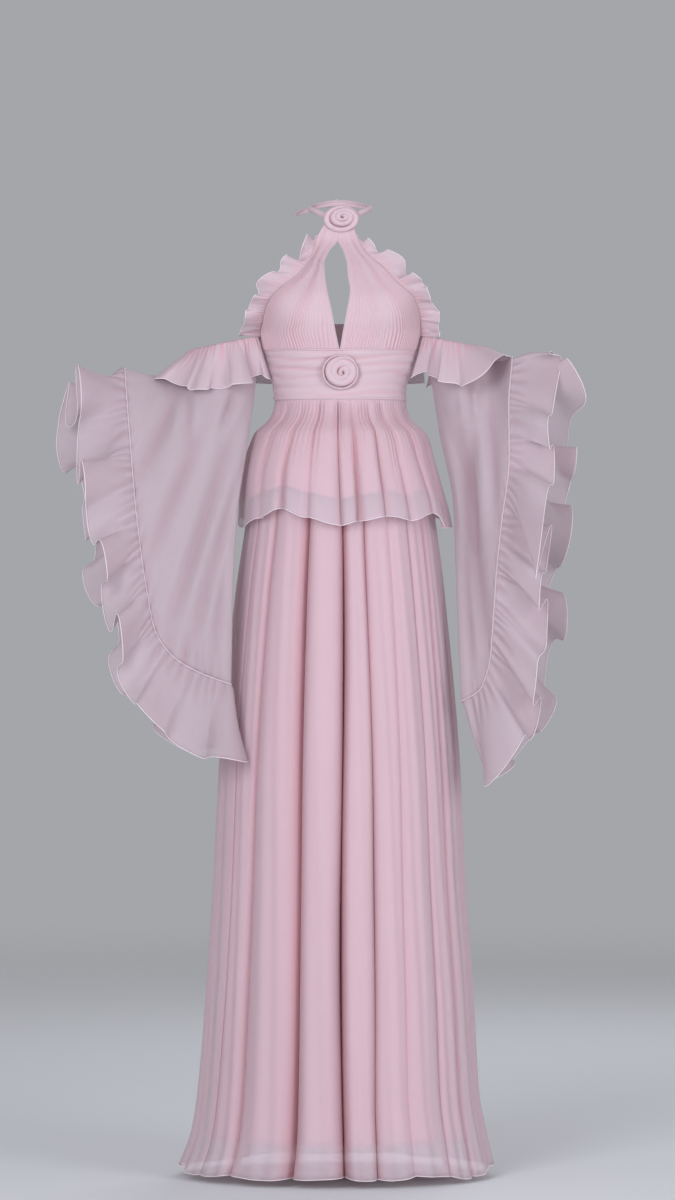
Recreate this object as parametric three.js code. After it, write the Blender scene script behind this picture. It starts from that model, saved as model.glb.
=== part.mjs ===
// A floor-length halter gown in pale pink chiffon: a keyhole front gathered into a neck rosette, a pleated
// waistband with a second rosette, a gathered peplum over a lined skirt, and wing sleeves edged with ruffles.
// Millimetres, +Z up, front towards -Y. The origin is the middle of the neck loop, where the gown is held.
// Left and right are as seen from the front. Angles go from the front centre round to the right.
import * as THREE from "three";

const WALL = 1.5; // thickness of one layer of cloth
const SEAM = 0.3; // gap left where two pieces are sewn together
const LAYER = WALL + 0.4; // from one nested layer to the next at a seam
const WAIST_SEAM = -317; // height of the seam under the waistband
const BAND_TOP = -238; // height of the seam over the waistband
const SKIRT_HEM = -1583;
const LINING_HEM = -1535;
const PEPLUM_HEM = -515;
const PEPLUM_LINING_HEM = -474;
const DEGREE = Math.PI / 180;
const point = (x, y, z) => new THREE.Vector3(x, y, z);

const CHIFFON = { color: 0xd9b9c8, roughness: 0.78, metalness: 0 };
const SHEER = { color: 0xc7b2bf, roughness: 0.75, metalness: 0 };
const LINING = { color: 0xe3b7c4, roughness: 0.6, metalness: 0 };

// The half-widths and half-depths of the bodice, row by row. The crowns of the cups come on top.
const BODICE_RINGS = [
  { z: -25, left: 150, right: 150, front: 57, back: 60 },
  { z: -50, left: 150, right: 150, front: 57.2, back: 66 },
  { z: -78, left: 150, right: 150, front: 69, back: 74 },
  { z: -106, left: 148, right: 148, front: 83, back: 82 },
  { z: -130, left: 144, right: 144, front: 92, back: 86 },
  { z: -152, left: 139, right: 141, front: 98, back: 89 },
  { z: -188, left: 134, right: 136, front: 100, back: 90 },
  { z: -212, left: 131, right: 133, front: 96, back: 87 },
  { z: -238, left: 126, right: 128, front: 90, back: 82 },
];
const CUP = { angle: 37, z: -166, wide: 21, tall: 38, rise: 15 };

// Where the halter fronts end: across at the keyhole, in mm, and at the armhole, in degrees.
const KEYHOLE_EDGES = [
  { z: -25, left: -3.8, right: -3.2 },
  { z: -55, left: -3.9, right: -3.1 },
  { z: -75, left: -18, right: 6 },
  { z: -96, left: -26.6, right: 12 },
  { z: -116, left: -25.5, right: 13.5 },
  { z: -140, left: -21.8, right: 17 },
  { z: -173, left: -14.5, right: 12.2 },
  { z: -212, left: -7.3, right: 5 },
  { z: -238, left: -1.5, right: 0.6 },
];
const ARMHOLE_EDGES = [
  { z: -25, left: 8.4, right: 7.7 },
  { z: -50, left: 13.9, right: 10.4 },
  { z: -78, left: 17.1, right: 16.7 },
  { z: -106, left: 24.3, right: 30 },
  { z: -130, left: 36.2, right: 39.7 },
  { z: -152, left: 49.7, right: 54.6 },
  { z: -188, left: 69, right: 74 },
  { z: -212, left: 82, right: 82 },
  { z: -238, left: 82, right: 82 },
];
const BACK_TOP = -188;
const BODICE_ROWS = [-25.5, -50, -78, -106, -134, -162, BACK_TOP, -212, BAND_TOP + SEAM];
const SIDE_SEAM = 0.35; // gap between front and back, in degrees
const BODICE_GATHERS = 10;
const GATHER_RISE = 1.4;

const WAISTBAND_RINGS = [
  { z: -238, left: 126, right: 128, front: 90, back: 82 },
  { z: -267, left: 117, right: 118.5, front: 84, back: 78 },
  { z: -288, left: 111.5, right: 110.5, front: 81, back: 76 },
  { z: -303, left: 107, right: 107.5, front: 79.5, back: 75 },
  { z: -317, left: 107, right: 108.5, front: 80, back: 76 },
];
const BAND_PLEATS = 4;
const PLEAT_RISE = 1.4;

// The crests of the peplum and of the skirt. Their folds go inwards from these.
const PEPLUM_RINGS = [
  { z: -317.3, left: 107, right: 108.5, front: 80, back: 76 },
  { z: -335, left: 110.5, right: 111.5, front: 85, back: 82 },
  { z: -350, left: 118, right: 118, front: 94, back: 93 },
  { z: -372, left: 141, right: 142, front: 112, back: 113 },
  { z: -390, left: 149, right: 150, front: 119, back: 122 },
  { z: -412, left: 157, right: 156, front: 126, back: 129 },
  { z: -450, left: 165, right: 168, front: 136, back: 139 },
  { z: -488, left: 167, right: 180, front: 144, back: 147 },
  { z: -520, left: 168, right: 187, front: 151, back: 155 },
];
const PEPLUM_ROWS = [-317.3, -352, -374, -430, PEPLUM_HEM];
const SKIRT_RINGS = [
  { z: -317.3, left: 102.4, right: 103.9, front: 75.4, back: 71.4 },
  { z: -350, left: 108, right: 109, front: 85, back: 84 },
  { z: -372, left: 125, right: 126, front: 98, back: 99 },
  { z: -400, left: 134, right: 135, front: 106, back: 109 },
  { z: -440, left: 145, right: 146, front: 116, back: 119 },
  { z: -522, left: 155, right: 158, front: 126, back: 130 },
  { z: -640, left: 172, right: 173, front: 141, back: 146 },
  { z: -908, left: 198, right: 197, front: 164, back: 167 },
  { z: -1117, left: 209, right: 207, front: 176, back: 180 },
  { z: -1289, left: 220, right: 219, front: 186, back: 190 },
  { z: -1461, left: 234, right: 229, front: 198, back: 203 },
  { z: -1526, left: 244, right: 241, front: 207, back: 212 },
  { z: -1583, left: 265, right: 254, front: 222, back: 228 },
];
const SKIRT_ROWS = [-317.3, -352, -400, -520, -720, -1000, -1300, -1480, SKIRT_HEM];

// Each fold is a groove at an angle, with its depth as a share of the depth at that height. The peplum's hem
// is higher or lower at each.
const PEPLUM_FOLDS = [
  { at: -166, deep: 0.9, hem: -5 },
  { at: -144, deep: 1, hem: 6 },
  { at: -122, deep: 0.8, hem: -3 },
  { at: -99, deep: 0.4, hem: 4 },
  { at: -74, deep: 0.35, hem: -10 },
  { at: -52, deep: 0.8, hem: 2 },
  { at: -34, deep: 0.9, hem: 14 },
  { at: -18, deep: 0.6, hem: 2 },
  { at: -2, deep: 1, hem: -9 },
  { at: 9, deep: 1, hem: -3 },
  { at: 25, deep: 1.3, hem: 4 },
  { at: 38, deep: 0.7, hem: -2 },
  { at: 54, deep: 1, hem: 9 },
  { at: 72, deep: 0.8, hem: -11 },
  { at: 96, deep: 0.9, hem: -8 },
  { at: 120, deep: 0.8, hem: 4 },
  { at: 146, deep: 1, hem: -6 },
  { at: 171, deep: 0.8, hem: 5 },
];
const SKIRT_FOLDS = [
  { at: -180, deep: 1.1 },
  { at: -159, deep: 0.8 },
  { at: -140, deep: 1 },
  { at: -119, deep: 0.7 },
  { at: -99, deep: 0.9 },
  { at: -78, deep: 0.6 },
  { at: -61, deep: 0.5 },
  { at: -43, deep: 0.9 },
  { at: -19, deep: 1.3 },
  { at: 1, deep: 1.6 },
  { at: 16, deep: 0.8 },
  { at: 30, deep: 0.4 },
  { at: 45, deep: 0.8 },
  { at: 60, deep: 0.8 },
  { at: 75, deep: 0.6 },
  { at: 98, deep: 0.8 },
  { at: 117, deep: 0.9 },
  { at: 138, deep: 0.7 },
  { at: 158, deep: 1 },
];
const SKIRT_FOLD_DEPTHS = [
  { z: -317.3, deep: 0 },
  { z: -400, deep: 5 },
  { z: -640, deep: 11 },
  { z: -1200, deep: 16 },
  { z: -1583, deep: 20 },
];
const PEPLUM_FOLD_DEPTHS = [
  { z: -317.3, deep: 0 },
  { z: -350, deep: 2.5 },
  { z: -430, deep: 6 },
  { z: -520, deep: 11 },
];
// How far the skirt lining stays inside the skirt, in front and at the sides.
const LINING_INSETS = [
  { z: -317.3, front: LAYER, side: LAYER },
  { z: -400, front: 3.5, side: 4 },
  { z: -640, front: 4.5, side: 11 },
  { z: -1000, front: 5, side: 17 },
  { z: -1583, front: 6, side: 28 },
];

// A sleeve is a wide tube. Its top runs from the arm ring to the wrist, its inner edge down beside the skirt,
// and its opening from the wrist to the lowest corner. The share v goes from the arm ring to the opening, and
// the share s from the top, round the front or the back, to the inner edge. At the opening, the back layer
// reaches further out than the front.
const SLEEVES = {
  left: {
    side: -1,
    top: [
      { v: 0, x: -241, y: 0, z: -234 },
      { v: 0.3, x: -267, y: -5, z: -274 },
      { v: 0.6, x: -305, y: -18, z: -277 },
      { v: 1, x: -353, y: -35, z: -267 },
    ],
    inner: [
      { v: 0, x: -131, y: 0, z: -212 },
      { v: 0.1, x: -137, y: -22, z: -280 },
      { v: 0.28, x: -150, y: -54, z: -383 },
      { v: 0.51, x: -168, y: -82, z: -513 },
      { v: 0.72, x: -174, y: -98, z: -627 },
      { v: 1, x: -177, y: -112, z: -784 },
    ],
    opening: [
      { s: 0, x: -353, y: -35, z: -267, back: 0 },
      { s: 0.155, x: -345, y: -40, z: -358, back: 34 },
      { s: 0.35, x: -335, y: -46, z: -474, back: 10 },
      { s: 0.5, x: -325, y: -51, z: -562, back: 30 },
      { s: 0.6, x: -316, y: -57, z: -621, back: 10 },
      { s: 0.725, x: -302, y: -66, z: -693, back: 8 },
      { s: 0.82, x: -271, y: -80, z: -739, back: 4 },
      { s: 0.915, x: -223, y: -98, z: -767, back: 0 },
      { s: 1, x: -177, y: -112, z: -784, back: 0 },
    ],
    depth: 60,
    ruffle: [
      { s: 0, x: -1, z: 0.08, wide: 80 },
      { s: 0.2, x: -0.98, z: -0.1, wide: 86 },
      { s: 0.36, x: -0.92, z: -0.32, wide: 80 },
      { s: 0.5, x: -0.84, z: -0.5, wide: 72 },
      { s: 0.62, x: -0.76, z: -0.64, wide: 68 },
      { s: 0.75, x: -0.6, z: -0.8, wide: 92 },
      { s: 0.87, x: -0.35, z: -0.95, wide: 114 },
      { s: 1, x: -0.04, z: -1, wide: 122 },
    ],
  },
  right: {
    side: 1,
    top: [
      { v: 0, x: 240, y: 0, z: -232 },
      { v: 0.3, x: 252, y: -18, z: -252 },
      { v: 0.6, x: 266, y: -38, z: -255 },
      { v: 1, x: 282, y: -62, z: -249 },
    ],
    inner: [
      { v: 0, x: 133, y: 0, z: -212 },
      { v: 0.1, x: 150, y: -12, z: -285 },
      { v: 0.25, x: 164, y: -24, z: -375 },
      { v: 0.45, x: 186, y: -34, z: -490 },
      { v: 0.63, x: 190, y: -52, z: -600 },
      { v: 1, x: 197, y: -98, z: -812 },
    ],
    opening: [
      { s: 0, x: 282, y: -62, z: -249, back: 0 },
      { s: 0.14, x: 275, y: -66, z: -330, back: 46 },
      { s: 0.29, x: 275, y: -70, z: -414, back: 42 },
      { s: 0.48, x: 262, y: -74, z: -525, back: 34 },
      { s: 0.6, x: 255, y: -76, z: -592, back: 24 },
      { s: 0.72, x: 250, y: -80, z: -662, back: 32 },
      { s: 0.85, x: 245, y: -84, z: -737, back: 30 },
      { s: 0.93, x: 228, y: -92, z: -792, back: 16 },
      { s: 1, x: 197, y: -98, z: -812, back: 0 },
    ],
    depth: 56,
    ruffle: [
      { s: 0, x: 0.9, z: 0.42, wide: 78 },
      { s: 0.15, x: 0.97, z: 0.05, wide: 72 },
      { s: 0.35, x: 0.95, z: -0.28, wide: 70 },
      { s: 0.5, x: 0.9, z: -0.42, wide: 82 },
      { s: 0.65, x: 0.8, z: -0.58, wide: 96 },
      { s: 0.8, x: 0.7, z: -0.72, wide: 112 },
      { s: 0.9, x: 0.5, z: -0.87, wide: 124 },
      { s: 1, x: -0.02, z: -1, wide: 134 },
    ],
  },
};
const SLEEVE_BANDS = 6;
const SLEEVE_HALF_COLUMNS = 14;
const ARM_RING_DEPTH = 50;
const SLEEVE_RUFFLE_WAVES = 16;
const WAVE_COLUMNS = 6;
const RUFFLE_WAVE = 13;
const RUFFLE_CURL = 5;
const RUFFLE_FLARE = 0.3;
const RUFFLE_SEAM = 0.5;

const ARM_RUFFLE_WAVES = 7;
// The turn goes round the arm from the body, over the front, in degrees. The strip leans away from the arm and
// across towards the body.
const ARM_RUFFLES = {
  left: [
    { turn: 29, lean: 0.12, across: 0.2, wide: 52, wave: 3 },
    { turn: 75, lean: 0.42, across: 0.05, wide: 70, wave: 9 },
    { turn: 120, lean: 0.55, across: 0, wide: 80, wave: 8 },
    { turn: 165, lean: 1.7, across: 0, wide: 72, wave: 4 },
    { turn: 195, lean: 1.7, across: 0, wide: 72, wave: 4 },
    { turn: 240, lean: 0.6, across: 0, wide: 78, wave: 7 },
    { turn: 300, lean: 0.3, across: 0, wide: 62, wave: 5 },
  ],
  right: [
    { turn: 29, lean: 0.2, across: 0.1, wide: 50, wave: 3 },
    { turn: 75, lean: 0.5, across: 0, wide: 66, wave: 7 },
    { turn: 103, lean: 0.95, across: 0, wide: 90, wave: 5 },
    { turn: 142, lean: 5, across: 0, wide: 58, wave: 3 },
    { turn: 180, lean: 4, across: 0, wide: 52, wave: 3 },
    { turn: 230, lean: 0.9, across: 0, wide: 70, wave: 6 },
    { turn: 300, lean: 0.3, across: 0, wide: 62, wave: 5 },
  ],
};

const FRILL = [
  { z: -50, x: 0.9, y: -0.1, up: 0.3, wide: 12 },
  { z: -77, x: 0.93, y: -0.05, up: 0.36, wide: 24 },
  { z: -106, x: 0.92, y: 0, up: 0.38, wide: 36 },
  { z: -130, x: 0.93, y: 0, up: 0.36, wide: 34 },
  { z: -152, x: 0.94, y: 0, up: 0.3, wide: 28 },
  { z: -186, x: 0.98, y: -0.05, up: 0.1, wide: 32 },
  { z: -201, x: 0.99, y: -0.1, up: 0, wide: 34 },
];
const FRILL_STEP = 6.5;
const FRILL_PITCH = 26;
const FRILL_WAVE = 4.5;
const FRILL_WALL = 1.2;
const FRILL_END = -201;

const BACK_RUFFLE = { reach: 64, halfWidth: 152, depth: 92.1, middle: -189, ends: -214, hem: -287, lean: 0.2 };
const BACK_RUFFLE_WAVES = 7;
const BACK_RUFFLE_WAVE = 5;

const STRAP = { half: 53, front: 57, back: 57, tall: 10, dip: -20, side: -1, rise: 12 };
const KNOT = { x: -6, halfWide: 8, halfDeep: 5.5, halfTall: 7.5 };
const TIE_HALF_WIDTH = 4;
const TIE_ROUTES = {
  left: [point(-14.5, 63, 10), point(-34, 64, 7), point(-55, 58, 0), point(-74, 50, -7)],
  right: [point(-6, 63, 4.1), point(-4, 66, -14), point(-1, 66, -34), point(1, 65, -56)],
};
const NECK_ROSE = { x: 1.6, y: -57.8, z: -23, tilt: 0, halfWide: 29, halfTall: 22.5, edge: 4, rise: 9 };
const WAIST_ROSE = { x: 0, y: -85.6, z: -274, tilt: 0.16, halfWide: 31, halfTall: 29, edge: 4, rise: 6 };
const ROSE_TURNS = 3;
const ROSE_RIDGE = 3;
const ROSE_RINGS = 11;
const ROSE_COLUMNS = 20;

const mix = (a, b, share) => a + (b - a) * share;

// A table's columns as smooth curves over its first column, with no overshoot between rows.
function curvesOf(table) {
  const [key, ...names] = Object.keys(table[0]);
  const rows = [...table].sort((a, b) => a[key] - b[key]);
  const slope = (name, i) => (rows[i + 1][name] - rows[i][name]) / (rows[i + 1][key] - rows[i][key]);
  const tangent = (name, i) => {
    if (i === 0) return slope(name, 0);
    if (i === rows.length - 1) return slope(name, i - 1);
    const before = slope(name, i - 1);
    const after = slope(name, i);
    return before * after > 0 ? (2 * before * after) / (before + after) : 0;
  };
  return (at) => {
    const inside = THREE.MathUtils.clamp(at, rows[0][key], rows.at(-1)[key]);
    let i = rows.findIndex((row, n) => n > 0 && inside <= row[key]) - 1;
    if (i < 0) i = 0;
    const span = rows[i + 1][key] - rows[i][key];
    const t = (inside - rows[i][key]) / span;
    const read = { [key]: inside };
    for (const name of names)
      read[name] =
        rows[i][name] * (2 * t ** 3 - 3 * t ** 2 + 1) +
        rows[i + 1][name] * (3 * t ** 2 - 2 * t ** 3) +
        tangent(name, i) * span * (t ** 3 - 2 * t ** 2 + t) +
        tangent(name, i + 1) * span * (t ** 3 - t ** 2);
    return read;
  };
}

// The point of a ring at an angle, drawn in by an inset.
function onRing(ring, angle, z, inset = 0) {
  const across = Math.sin(angle) > 0 ? ring.right : ring.left;
  const deep = Math.cos(angle) > 0 ? ring.front : ring.back;
  return point((across - inset) * Math.sin(angle), -(deep - inset) * Math.cos(angle), z);
}

// The outward normals of a grid of points, rows going down and columns going round to the right.
function normalsOf(rows, closed, levelEnds) {
  const last = rows.length - 1;
  const count = rows[0].length;
  return rows.map((row, i) =>
    row.map((_, j) => {
      const up = rows[Math.max(i - 1, 0)][j];
      const down = rows[Math.min(i + 1, last)][j];
      const before = row[closed ? (j + count - 1) % count : Math.max(j - 1, 0)];
      const after = row[closed ? (j + 1) % count : Math.min(j + 1, count - 1)];
      const normal = down.clone().sub(up).cross(after.clone().sub(before));
      if (levelEnds && (i === 0 || i === last)) normal.z = 0;
      return normal.normalize();
    }),
  );
}

// One closed wall of cloth: the grid is its outer face, and its inner face lies one thickness behind.
// The outer face alone can be raised, flip turns the faces to the other side, and the first row can take its
// normals from the piece that it joins.
function wall(rows, options = {}) {
  const { closed = false, levelEnds = false, flip = false, thick = WALL, raise = () => 0, firstNormals } = options;
  const normals = normalsOf(rows, closed, levelEnds);
  if (flip) normals.flat().forEach((normal) => normal.negate());
  if (firstNormals) normals[0] = firstNormals;
  const count = rows[0].length;
  const layer = rows.length * count;
  const places = [];
  rows.forEach((row, i) => row.forEach((p, j) => places.push(...p.clone().addScaledVector(normals[i][j], raise(i, j)))));
  rows.forEach((row, i) => row.forEach((p, j) => places.push(...p.clone().addScaledVector(normals[i][j], -thick))));
  const outer = (i, j) => i * count + (j % count);
  const inner = (i, j) => layer + outer(i, j);
  const faces = [];
  const quad = (a, b, c, d) => (flip ? faces.push(a, c, b, a, d, c) : faces.push(a, b, c, a, c, d));
  const bands = rows.length - 1;
  const columns = closed ? count : count - 1;
  for (let i = 0; i < bands; i++)
    for (let j = 0; j < columns; j++) {
      quad(outer(i, j), outer(i + 1, j), outer(i + 1, j + 1), outer(i, j + 1));
      quad(inner(i, j), inner(i, j + 1), inner(i + 1, j + 1), inner(i + 1, j));
    }
  for (let j = 0; j < columns; j++) {
    quad(outer(0, j), outer(0, j + 1), inner(0, j + 1), inner(0, j));
    quad(outer(bands, j), inner(bands, j), inner(bands, j + 1), outer(bands, j + 1));
  }
  if (!closed)
    for (let i = 0; i < bands; i++) {
      quad(outer(i, 0), inner(i, 0), inner(i + 1, 0), outer(i + 1, 0));
      quad(outer(i, columns), outer(i + 1, columns), inner(i + 1, columns), inner(i, columns));
    }
  return geometryOf(places, faces);
}

function geometryOf(places, faces) {
  const geometry = new THREE.BufferGeometry();
  geometry.setAttribute("position", new THREE.Float32BufferAttribute(places, 3));
  geometry.setIndex(faces);
  geometry.computeVertexNormals();
  return geometry;
}

const gown = new THREE.Group();
function add(name, geometry, finish) {
  const mesh = new THREE.Mesh(geometry, new THREE.MeshStandardMaterial(finish));
  mesh.name = name;
  gown.add(mesh);
}

const bodiceRing = curvesOf(BODICE_RINGS);
const keyhole = curvesOf(KEYHOLE_EDGES);
const armhole = curvesOf(ARMHOLE_EDGES);

// A point of the halter front or back: the bodice ring with the crown of a cup pushed out of it.
function onBodice(angle, z) {
  const p = onRing(bodiceRing(z), angle, z);
  const around = (Math.abs(angle) / DEGREE - CUP.angle) / CUP.wide;
  const crown = CUP.rise * Math.exp(-(around ** 2) - ((z - CUP.z) / CUP.tall) ** 2);
  return p.add(point(Math.sin(angle), -Math.cos(angle), 0).multiplyScalar(crown));
}

// The angles of a halter front's two edges, from left to right.
function frontEdges(side, z) {
  const ring = bodiceRing(z);
  const edge = keyhole(z)[side];
  const inner = Math.asin(edge / (edge > 0 ? ring.right : ring.left));
  const outer = armhole(z)[side] * DEGREE;
  return side === "left" ? [-outer, inner] : [inner, outer];
}

function bodiceFront(side) {
  const columns = 2 * BODICE_GATHERS;
  const rows = BODICE_ROWS.map((z) => {
    const [from, to] = frontEdges(side, z);
    return Array.from({ length: columns + 1 }, (_, j) => onBodice(mix(from, to, j / columns), z));
  });
  const last = rows.length - 1;
  const raise = (i, j) => (i > 1 && i < last && j % 2 === 1 ? GATHER_RISE : 0);
  add("bodice_front_" + side, wall(rows, { levelEnds: true, raise }), CHIFFON);
}

function bodiceBack() {
  const columns = 20;
  const rows = BODICE_ROWS.filter((z) => z <= BACK_TOP).map((z) => {
    const gap = SIDE_SEAM * DEGREE;
    const from = armhole(z).right * DEGREE + gap;
    const to = 2 * Math.PI - armhole(z).left * DEGREE - gap;
    return Array.from({ length: columns + 1 }, (_, j) => onBodice(mix(from, to, j / columns), z));
  });
  add("bodice_back", wall(rows, { levelEnds: true }), CHIFFON);
}

function waistband() {
  const ring = curvesOf(WAISTBAND_RINGS);
  const columns = 32;
  const bands = 2 * BAND_PLEATS;
  const rows = Array.from({ length: bands + 1 }, (_, i) => {
    const z = mix(BAND_TOP, WAIST_SEAM, i / bands);
    return Array.from({ length: columns }, (_, j) => onRing(ring(z), (j / columns) * 2 * Math.PI, z));
  });
  const raise = (i) => (i % 2 === 1 ? PLEAT_RISE : 0);
  add("waistband", wall(rows, { closed: true, levelEnds: true, raise }), CHIFFON);
}

// The columns of a folded tube: the same few shares of the way from each fold's groove to the next.
function foldColumns(folds, shares) {
  return folds.flatMap((fold, k) => {
    const next = folds[(k + 1) % folds.length];
    const span = (next.at - fold.at + 360) % 360;
    return shares.map((share) => {
      const nearest = share < 0.5 ? fold : next;
      return {
        share,
        angle: (fold.at + span * share) * DEGREE,
        groove: nearest.deep * Math.abs(2 * share - 1) ** 2.2,
        hem: mix(fold.hem, next.hem, THREE.MathUtils.smoothstep(share, 0, 1)),
      };
    });
  });
}

const skirtRing = curvesOf(SKIRT_RINGS);
const skirtDepth = curvesOf(SKIRT_FOLD_DEPTHS);
const liningInset = curvesOf(LINING_INSETS);
const peplumRing = curvesOf(PEPLUM_RINGS);
const peplumDepth = curvesOf(PEPLUM_FOLD_DEPTHS);
const PEPLUM_GATHER = 1.6; // depth of the small gather between two folds, just under the seam

function skirt() {
  const columns = foldColumns(SKIRT_FOLDS, [0, 0.12, 0.37, 0.63, 0.88]);
  const rows = SKIRT_ROWS.map((z) =>
    columns.map(({ angle, groove }) => onRing(skirtRing(z), angle, z, groove * skirtDepth(z).deep)),
  );
  add("skirt", wall(rows, { closed: true, levelEnds: true }), SHEER);
}

function skirtLining() {
  const columns = foldColumns(SKIRT_FOLDS, [0, 0.5]);
  const heights = SKIRT_ROWS.filter((z) => z > LINING_HEM).concat(LINING_HEM);
  const rows = heights.map((z) =>
    columns.map(({ angle, groove }) => {
      const inset = liningInset(z);
      const drawn = mix(inset.front, inset.side, Math.sin(angle) ** 4);
      return onRing(skirtRing(z), angle, z, groove * skirtDepth(z).deep + drawn);
    }),
  );
  add("skirt_lining", wall(rows, { closed: true, levelEnds: true }), LINING);
}

function peplumRows(heights, shares, inset) {
  const columns = foldColumns(PEPLUM_FOLDS, shares);
  return heights.map((z) => {
    const fade = THREE.MathUtils.smoothstep(-z, 317.3, 345) * (1 - THREE.MathUtils.smoothstep(-z, 350, 440));
    const low = THREE.MathUtils.smoothstep(-z, 372, -PEPLUM_HEM);
    return columns.map(({ angle, groove, share, hem }) => {
      const gather = PEPLUM_GATHER * fade * Math.max(0, 1 - Math.abs(share - 0.5) / 0.17);
      return onRing(peplumRing(z), angle, z + hem * low, groove * peplumDepth(z).deep + gather + inset(z));
    });
  });
}

function peplum() {
  const rows = peplumRows(PEPLUM_ROWS, [0, 0.16, 0.33, 0.5, 0.67, 0.84], () => 0);
  add("peplum", wall(rows, { closed: true, levelEnds: true }), SHEER);
}

function peplumLining() {
  const heights = PEPLUM_ROWS.filter((z) => z > PEPLUM_LINING_HEM).concat(PEPLUM_LINING_HEM);
  const inset = (z) => mix(LAYER, 4, THREE.MathUtils.smoothstep(-z, 317.3, 360));
  add("peplum_lining", wall(peplumRows(heights, [0, 0.5], inset), { closed: true, levelEnds: true }), LINING);
}

// A point of a sleeve: four edge curves blended across, with the front and the back layer parted in depth.
function sleeveSurface(sleeve) {
  const top = curvesOf(sleeve.top);
  const inner = curvesOf(sleeve.inner);
  const opening = curvesOf(sleeve.opening);
  const root = (s) => {
    const from = top(0);
    const to = inner(0);
    const swing = (1 - Math.cos(Math.PI * s)) / 2;
    return { x: mix(from.x, to.x, swing), y: mix(from.y, to.y, swing), z: mix(from.z, to.z, swing) };
  };
  return (s, v, layer) => {
    const blend = (axis) =>
      mix(root(s)[axis], opening(s)[axis], v) +
      mix(top(v)[axis], inner(v)[axis], s) -
      mix(mix(top(0)[axis], inner(0)[axis], s), mix(top(1)[axis], inner(1)[axis], s), v);
    const bulge = Math.sin(Math.PI * s) ** mix(1, 0.6, v);
    const apart = mix(ARM_RING_DEPTH, sleeve.depth, v) * bulge;
    const reach = layer > 0 ? sleeve.side * opening(s).back * v : 0;
    return point(blend("x") + reach, blend("y") + layer * apart, blend("z"));
  };
}

// The columns round a sleeve: down its front to the inner edge, and back up behind. They are even at the arm
// ring, and closer at the top and the inner edge towards the opening.
function sleeveColumns(v) {
  return Array.from({ length: 2 * SLEEVE_HALF_COLUMNS }, (_, k) => {
    const half = (k <= SLEEVE_HALF_COLUMNS ? k : 2 * SLEEVE_HALF_COLUMNS - k) / SLEEVE_HALF_COLUMNS;
    const s = mix(half, (1 - Math.cos(Math.PI * half)) / 2, v);
    return { s, layer: k <= SLEEVE_HALF_COLUMNS ? -1 : 1, turn: k / (2 * SLEEVE_HALF_COLUMNS) };
  });
}

// Stations along a closed edge, about evenly spaced, with one at each corner of it.
function edgeStations(edge, normals, columns, wanted) {
  const count = edge.length;
  const lengths = edge.map((p, k) => p.distanceTo(edge[(k + 1) % count]));
  const whole = lengths.reduce((sum, length) => sum + length, 0);
  let before = 0;
  return edge.flatMap((p, k) => {
    const next = (k + 1) % count;
    const pieces = Math.max(1, Math.round((lengths[k] / whole) * wanted));
    const stations = Array.from({ length: pieces }, (_, n) => ({
      place: p.clone().lerp(edge[next], n / pieces),
      normal: normals[k].clone().lerp(normals[next], n / pieces).normalize(),
      s: mix(columns[k].s, columns[next].s, n / pieces),
      turn: mix(columns[k].turn, next === 0 ? 1 : columns[next].turn, n / pieces),
      share: (before + (lengths[k] * n) / pieces) / whole,
    }));
    before += lengths[k];
    return stations;
  });
}

function sleeveAndRuffle(side) {
  const sleeve = SLEEVES[side];
  const surface = sleeveSurface(sleeve);
  const flip = sleeve.side > 0;
  const rows = Array.from({ length: SLEEVE_BANDS + 1 }, (_, i) => {
    const v = i / SLEEVE_BANDS;
    return sleeveColumns(v).map(({ s, layer }) => surface(s, v, layer));
  });
  add("sleeve_" + side, wall(rows, { closed: true, flip }), SHEER);

  const normals = normalsOf(rows, true, false).at(-1);
  if (flip) normals.forEach((normal) => normal.negate());
  const leaning = curvesOf(sleeve.ruffle);
  const stations = edgeStations(rows.at(-1), normals, sleeveColumns(1), SLEEVE_RUFFLE_WAVES * WAVE_COLUMNS);
  const strip = [0, 0.5, 1].map((share) =>
    stations.map(({ place, s, turn, share: along }, k) => {
      const lean = leaning(s);
      const flare = RUFFLE_FLARE * Math.sin(2 * Math.PI * turn);
      const fall = point(lean.x, -flare, lean.z).normalize();
      const ahead = stations[(k + 2) % stations.length].place;
      const behind = stations.at(k - 2).place;
      const onward = ahead.clone().sub(behind).normalize();
      const normal = onward.clone().cross(fall).normalize();
      const phase = 2 * Math.PI * SLEEVE_RUFFLE_WAVES * along;
      return place
        .clone()
        .addScaledVector(fall, RUFFLE_SEAM + lean.wide * share)
        .addScaledVector(normal, RUFFLE_WAVE * share * Math.cos(phase))
        .addScaledVector(onward, RUFFLE_CURL * share * Math.sin(2 * phase));
    }),
  );
  const firstNormals = stations.map(({ normal }) => normal);
  add("sleeve_ruffle_" + side, wall(strip, { closed: true, flip, firstNormals }), SHEER);
}

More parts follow.
